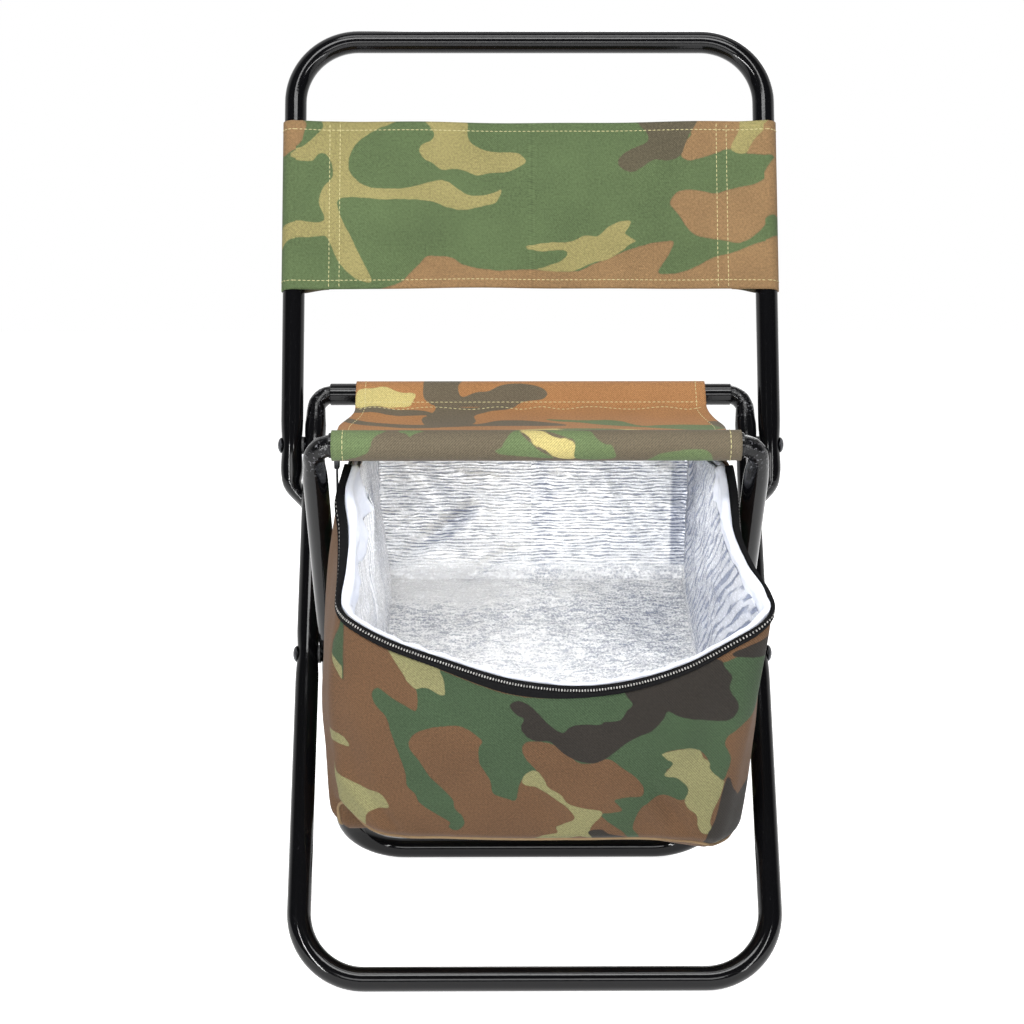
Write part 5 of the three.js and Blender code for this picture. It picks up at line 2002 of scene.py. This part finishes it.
    def foil_ends(self, run: float) -> tuple[np.ndarray, np.ndarray]:
        """Top and foot of the foil at a distance round the bag, in millimetres."""
        row = self.row(run)
        zipped = self.zip_share(run)
        out = self.outward(row)
        share = self.shown_foam(run) * zipped / (row[2] - row[5])
        inset = 6.8 + (self.lean(run) + self.tape_width(run)) * zipped
        top = np.array(self.wall(run, share, inset) - LAYOUT.at(0, 0, 0)) / MM
        top[2] -= 4 * (1 - zipped)
        foot = row[3:6].copy()
        x = min(max(row[0] * 0.5 + row[3] * 0.5, -109), 118)
        foot[0] = x - out[0] * 9
        foot[1] = min(row[1] * 0.45 + row[4] * 0.55 - out[1] * 9, 184)
        foot[2] = self.floor_height(foot[1])
        return top, foot

    def build_foil(self) -> bpy.types.Object:
        """The foil lining: creased walls and a crumpled raised floor, as one open vessel."""
        def place(u: float, v: float) -> Vector:
            run = u * self.around
            top, foot = self.foil_ends(run)
            if v < self.foil_wall:
                share = v / self.foil_wall
                point = top + (foot - top) * share
                x, y, z = point
                crump = 2.6 * noise.noise(Vector((x * 0.03, y * 0.03, z * 0.05)))
                crump += 1.1 * noise.noise(Vector((x * 0.09, y * 0.09, z * 0.13)))
                crump = crump * math.sin(math.pi * share) ** 0.5 + self.foil_creases(point)
                bulge = 0.7 * math.sin(math.pi * share)
                point[:2] -= self.outward(self.row(run)) * (max(crump, -1.4) - bulge)
                return LAYOUT.at(*point)
            share = (v - self.foil_wall) / (1 - self.foil_wall)
            centre = np.array([8.0, 84.0, self.floor_height(84) - 3])
            point = foot + (centre - foot) * share
            x, y, _ = point
            rough = 2.6 * noise.noise(Vector((x * 0.04, y * 0.04, 3.3)))
            rough += 1.3 * noise.noise(Vector((x * 0.12, y * 0.12, 8.3)))
            point[2] += rough * ease(share * 5)
            return LAYOUT.at(*point)

        def cloth(u: float, v: float) -> Pair:
            run = u * self.around
            top, foot = self.foil_ends(run)
            _, y, z = top + (foot - top) * min(v / self.foil_wall, 1)
            side, along = self.row(run)[7], z
            if side < -0.7:
                along = z * 0.2 + y * 1.3
            elif side > 0.7:
                along = (z * 0.9 + y * 0.8) * 0.3
            return run * MM, along * MM

        obj = grid("foil_layer", 400, 150, place, cloth,
                   mark=("crumpled", lambda u, v: ease((v - 0.53) / 0.08)))
        base = LAYOUT.at(0, 0, 0)
        keep(obj, "shine", [self.shine(*((vertex.co - base) / MM)) for vertex in obj.data.vertices])
        tidy(obj, MERGE)
        smooth(obj)
        modify(obj, "SOLIDIFY", thickness=0.5 * MM, offset=-1)
        return finish_piece(obj, FOIL, "silver_foil", "outer_legs", ["foil_lining"])

    def shine(self, x: float, y: float, z: float) -> float:
        """Painted light of the foil: broad bright and dull places, from -1 to 1, at a place in millimetres."""
        rear, floor = ease((y - 130) / 40), 1 - ease((z - self.floor_height(y) - 6) / 8)
        made = sum(tone.at(x, z)[0] for tone in self.foil_tones) * rear
        made += floor * (0.35 * bump(math.hypot(x + 20, y - 60) / 90)
                         - 0.5 * bump(math.hypot(x - 80, y - 140) / 70))
        # Painted shade on a facet of the left wall, and over the whole right wall
        if x < -92 and y < 182:
            made -= 0.8 * bump(math.hypot(y - 135, (z - 298) * 1.1) / 62)
        if x > 100 and floor <= 0.5:
            made -= 1.0
        return made

    def foil_creases(self, point: np.ndarray) -> float:
        """Long creases of the foil's rear wall, in millimetres, at a place in millimetres."""
        x, y, z = point
        return sum(fold.at(x, z)[0] for fold in self.foil_folds) if y >= 150 else 0.0

    def build_zip(self) -> list[bpy.types.Object]:
        """The bag's half of the zip: tape, teeth, and the slider with its pull."""
        first, last = self.run_of(self.zip_first), self.run_of(self.zip_last)
        length = last - first

        def edge(run: float, out: float, up: float) -> Vector:
            """Point beside the rim, out from the wall and up past its edge."""
            row = self.row(run)
            return self.wall(run, -up / (row[2] - row[5]), -out)

        # Out and up from the rim, round the bound tape and its inner flap
        section = ((0.9, -6.5), (1.0, -2.6), (1.7, -2.2), (1.7, -1.0), (1.0, -0.6), (1.0, 1.7),
                   (1.5, 2.1), (1.3, 3.2), (0.2, 3.6), (-1.2, 2.6), (-2.4, -1.0), (-2.8, -5.5),
                   (-2.2, -5.8), (-1.4, -1.4), (-0.4, 0.8), (0.2, -1.6), (0.1, -6.5))
        count = len(section)

        def place(u: float, v: float) -> Vector:
            run = first + u * length
            out, up = section[round(v * count) % count]
            if -5.4 < up and out < -1:
                out -= self.tape_width(run)
            shrink = ease(min(u, 1 - u) * length / 3)
            widen = 0.6 + 0.45 * bump((run - self.run_of(16.9)) / 60) if up < -5.7 else 1.0
            return edge(run, out * shrink, up * shrink * widen)

        tape = grid("bag_zip_tape", 420, count, place,
                    lambda u, v: (u * length * MM, v * 20 * MM))
        tidy(tape, MERGE)
        smooth(tape, 50)
        finish_piece(tape, TAPE, "zip_tape", "outer_legs", ["bag_zip"])
        places = []
        for k in range(int(length / self.tooth_pitch)):
            run = first + (k + 0.5) * self.tooth_pitch
            here, ahead = (edge(spot, *self.tooth_spot) for spot in (run, run + 0.4))
            along = (ahead - here).normalized()
            up = (edge(run, self.tooth_spot[0], 2.5) - here).normalized()
            side = along.cross(up).normalized()
            turn = Matrix((along, side, side.cross(along) * -1)).transposed().to_4x4()
            turn.translation = here
            places.append(turn)
        teeth = scattered("bag_zip_teeth", self.tooth(), places)
        finish_piece(teeth, TEETH, "zip_tape", "outer_legs")
        return [tape, teeth, *map(self.slider, ("zip_slider", "zip_pull"))]

    def tooth(self) -> bpy.types.Object:
        """One zip tooth: a short rounded bar across the tape."""
        obj = block("zip_tooth", (0.85 * MM, 1.1 * MM, 1.7 * MM))
        modify(obj, "BEVEL", width=0.22 * MM, segments=1)
        return obj

    def slider(self, node: str) -> bpy.types.Object:
        """The slider's body or its pull, whose node is given, at the left end of the zip."""
        low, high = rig.box(node)
        body = node == "zip_slider"
        obj = block("slider_body" if body else "slider_pull", high - low)
        with editing(obj):
            bpy.ops.mesh.subdivide(number_cuts=3)
        for vertex in obj.data.vertices:
            tall = vertex.co.z / ((high.z - low.z) / 2)
            vertex.co.y *= 1 - 0.25 * tall * tall if body else 0.8 + 0.2 * tall * tall
            vertex.co += middle(node)
        modify(obj, "BEVEL", width=(0.6 if body else 0.225) * MM, segments=2)
        smooth(obj, 40)
        return finish_piece(obj, STEEL, "zip_metal", "outer_legs", [node])

    def build_piping(self) -> bpy.types.Object:
        """The bound seam round the base."""
        count, drop, out, half = 220, 0.985, 0.8, 1.1 * MM
        rounds = []
        for k in range(count + 1):
            run = self.around * k / count
            point, ahead = (self.wall(spot, drop, -out) for spot in (run, run + 1))
            rounds.append(Station(point, (ahead - point).normalized(), half, half))
        obj = tube("base_piping", rounds, Vector((0, 0, 1)), 10)
        return finish_piece(obj, PIPING, "camouflage_cloth", "outer_legs")

    def build_seat_zip(self) -> bpy.types.Object:
        """The mating half of the zip, sewn under the seat cloth."""
        low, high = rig.box("seat_zip")
        tall = 3 * MM
        corners = [Vector((low.x, high.y, high.z)), Vector((low.x, low.y, high.z)),
                   Vector((high.x, low.y, high.z)), Vector((high.x, high.y, high.z))]
        path = bent_path(corners, [10 * MM, 10 * MM], 6 * MM)
        share = (high.z - low.z - tall) / (high.y - low.y)

        def place(u: float, v: float) -> Vector:
            point, direction = path[round(u * (len(path) - 1))]
            side = direction.cross(Vector((0, 0, 1)))
            across, up = ((-0.6, 0), (0.6, 0), (0.6, 1), (-0.6, 1))[round(v * 4) % 4]
            down = share * (point.y - low.y)
            return point + side * (across * MM) + Vector((0, 0, -down - tall * (1 - up)))

        tape = grid("seat_zip_tape", len(path) - 1, 4, place,
                    lambda u, v: (u * 0.35, v * 0.012))
        tidy(tape)
        smooth(tape, 40)
        return finish_piece(tape, TAPE, "zip_tape", None, ["seat_zip"])


# Studio

@dataclass(frozen=True)
class Softbox:
    """An area light that faces the stool: its place, its width and height, and its watts."""

    name: str
    spot: Triple
    size: Pair
    power: float

    def build(self) -> bpy.types.Object:
        """Builds the light."""
        light = bpy.data.lights.new(self.name, "AREA")
        light.shape, light.energy = "RECTANGLE", self.power
        light.size, light.size_y = self.size
        obj = bpy.data.objects.new(self.name, light)
        return placed(obj, Vector(self.spot), Vector((0, 0, 0.33)))


def placed(obj: bpy.types.Object, spot: Vector, target: Vector) -> bpy.types.Object:
    """Puts a light or camera at a place in the scene, and turns it to a target."""
    bpy.context.scene.collection.objects.link(obj)
    obj.location = spot
    obj.rotation_euler = (target - obj.location).to_track_quat("-Z", "Y").to_euler()
    return obj


@dataclass
class Studio:
    """Floor, light and camera."""

    lamps: tuple[Softbox, ...] = (
        Softbox("front_softbox", (0.0, -2.2, 0.66), (1.2, 0.45), 9.6),
        Softbox("mouth_softbox", (0.0, -1.0, 1.6), (0.9, 0.4), 12),
        Softbox("left_strip", (-1.0, -1.75, 0.55), (0.07, 1.3), 22),
        Softbox("right_softbox", (1.0, -1.75, 0.6), (0.16, 1.2), 10),
        Softbox("top_softbox", (0.1, -0.5, 2.2), (1.2, 0.6), 12),
        Softbox("rear_softbox", (0.4, 1.8, 1.2), (1.2, 1.0), 13),
    )
    bag_lamp: Softbox = Softbox("bag_light", tuple(LAYOUT.at(0, 62, 334)), (0.18, 0.06), 0.16)
    eye: Triple = (-24.6, -1214.1, 542.3)
    target: Triple = (-14.0, 150.1, 289.5)
    lens: float = 69.61

    def build(self) -> None:
        """Builds the studio."""
        self.floor()
        self.world()
        for lamp in self.lamps:
            lamp.build()
        inside = self.bag_lamp.build()
        inside.rotation_euler = (0, 0, 0)
        inside.visible_camera = inside.visible_glossy = False
        self.camera()
        bpy.context.scene.view_settings.view_transform = "Standard"

    def floor(self) -> None:
        """A plain white floor that keeps the stool's shadow."""
        deselect()
        bpy.ops.mesh.primitive_plane_add(size=9)
        plane = bpy.context.object
        plane.name = "floor"
        with editing(plane):
            bpy.ops.mesh.subdivide(number_cuts=2)
        material = bpy.data.materials.new("white_floor")
        material.use_nodes = True
        nodes = Nodes(material.node_tree)
        camera, mirrored = self.rays(nodes)
        white = nodes.add("ShaderNodeBsdfDiffuse", None, Color=(0.86, 0.86, 0.86, 1))
        light = nodes.add("ShaderNodeEmission", None, Color=(1, 1, 1, 1), Strength=0.84)
        both = nodes.add("ShaderNodeAddShader", None, _0=white.outputs[0], _1=light.outputs[0])
        ends = nodes.add("ShaderNodeMixShader", None, Fac=camera.largest(mirrored),
                         _1=white.outputs[0], _2=both.outputs[0])
        nodes.add("ShaderNodeOutputMaterial", None, Surface=ends.outputs[0])
        plane.data.materials.append(material)
        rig.stage(plane)

    def rays(self, nodes: Nodes) -> tuple[Value, Value]:
        """1 for what the camera sees, and 1 for what a gloss or a glass sees."""
        path = nodes.add("ShaderNodeLightPath")
        camera, gloss, glass = (Value(nodes, path.outputs[f"Is {kind} Ray"])
                                for kind in ("Camera", "Glossy", "Transmission"))
        return camera, gloss.largest(glass)

    def world(self) -> None:
        """White for the camera and behind the stool, and a dim room for all other rays."""
        world = bpy.data.worlds.new("studio")
        bpy.context.scene.world = world
        world.use_nodes = True
        nodes = Nodes(world.node_tree)
        camera, mirrored = self.rays(nodes)
        place = nodes.add("ShaderNodeTexCoord").outputs["Generated"]
        back = Value(nodes, nodes.add("ShaderNodeSeparateXYZ", Vector=place).outputs[1])
        behind = ((back + 0.1) * 3).clamp() * 0.92 + 0.08
        room = 0.27 + mirrored * (behind - 0.27)
        light = nodes.add("ShaderNodeBackground", None, Color=(1, 1, 1, 1),
                          Strength=camera + (1 - camera) * room)
        nodes.add("ShaderNodeOutputWorld", None, Surface=light.outputs[0])

    def camera(self) -> None:
        """The camera at the photo's angle."""
        data = bpy.data.cameras.new("camera")
        data.lens, data.sensor_width = self.lens, 36
        obj = bpy.data.objects.new("camera", data)
        bpy.context.scene.camera = placed(obj, LAYOUT.at(*self.eye), LAYOUT.at(*self.target))


def write_sizes() -> None:
    """Keeps the CAD box and the visual model's box for comparison."""
    boxes = [[list(corner) for corner in box] for box in (cad_box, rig.bounds())]
    with open("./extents.json", "w") as file:
        json.dump({"cad": boxes[0], "visual": boxes[1]}, file)


def main() -> None:
    """Builds the studio and every sub-assembly."""
    logging.basicConfig(level=logging.INFO, format="%(message)s")
    for part in (Studio(), Frames(), BackrestBand(), SeatCloth(), Bag()):
        part.build()
    write_sizes()


if __name__ == "__main__":
    main()
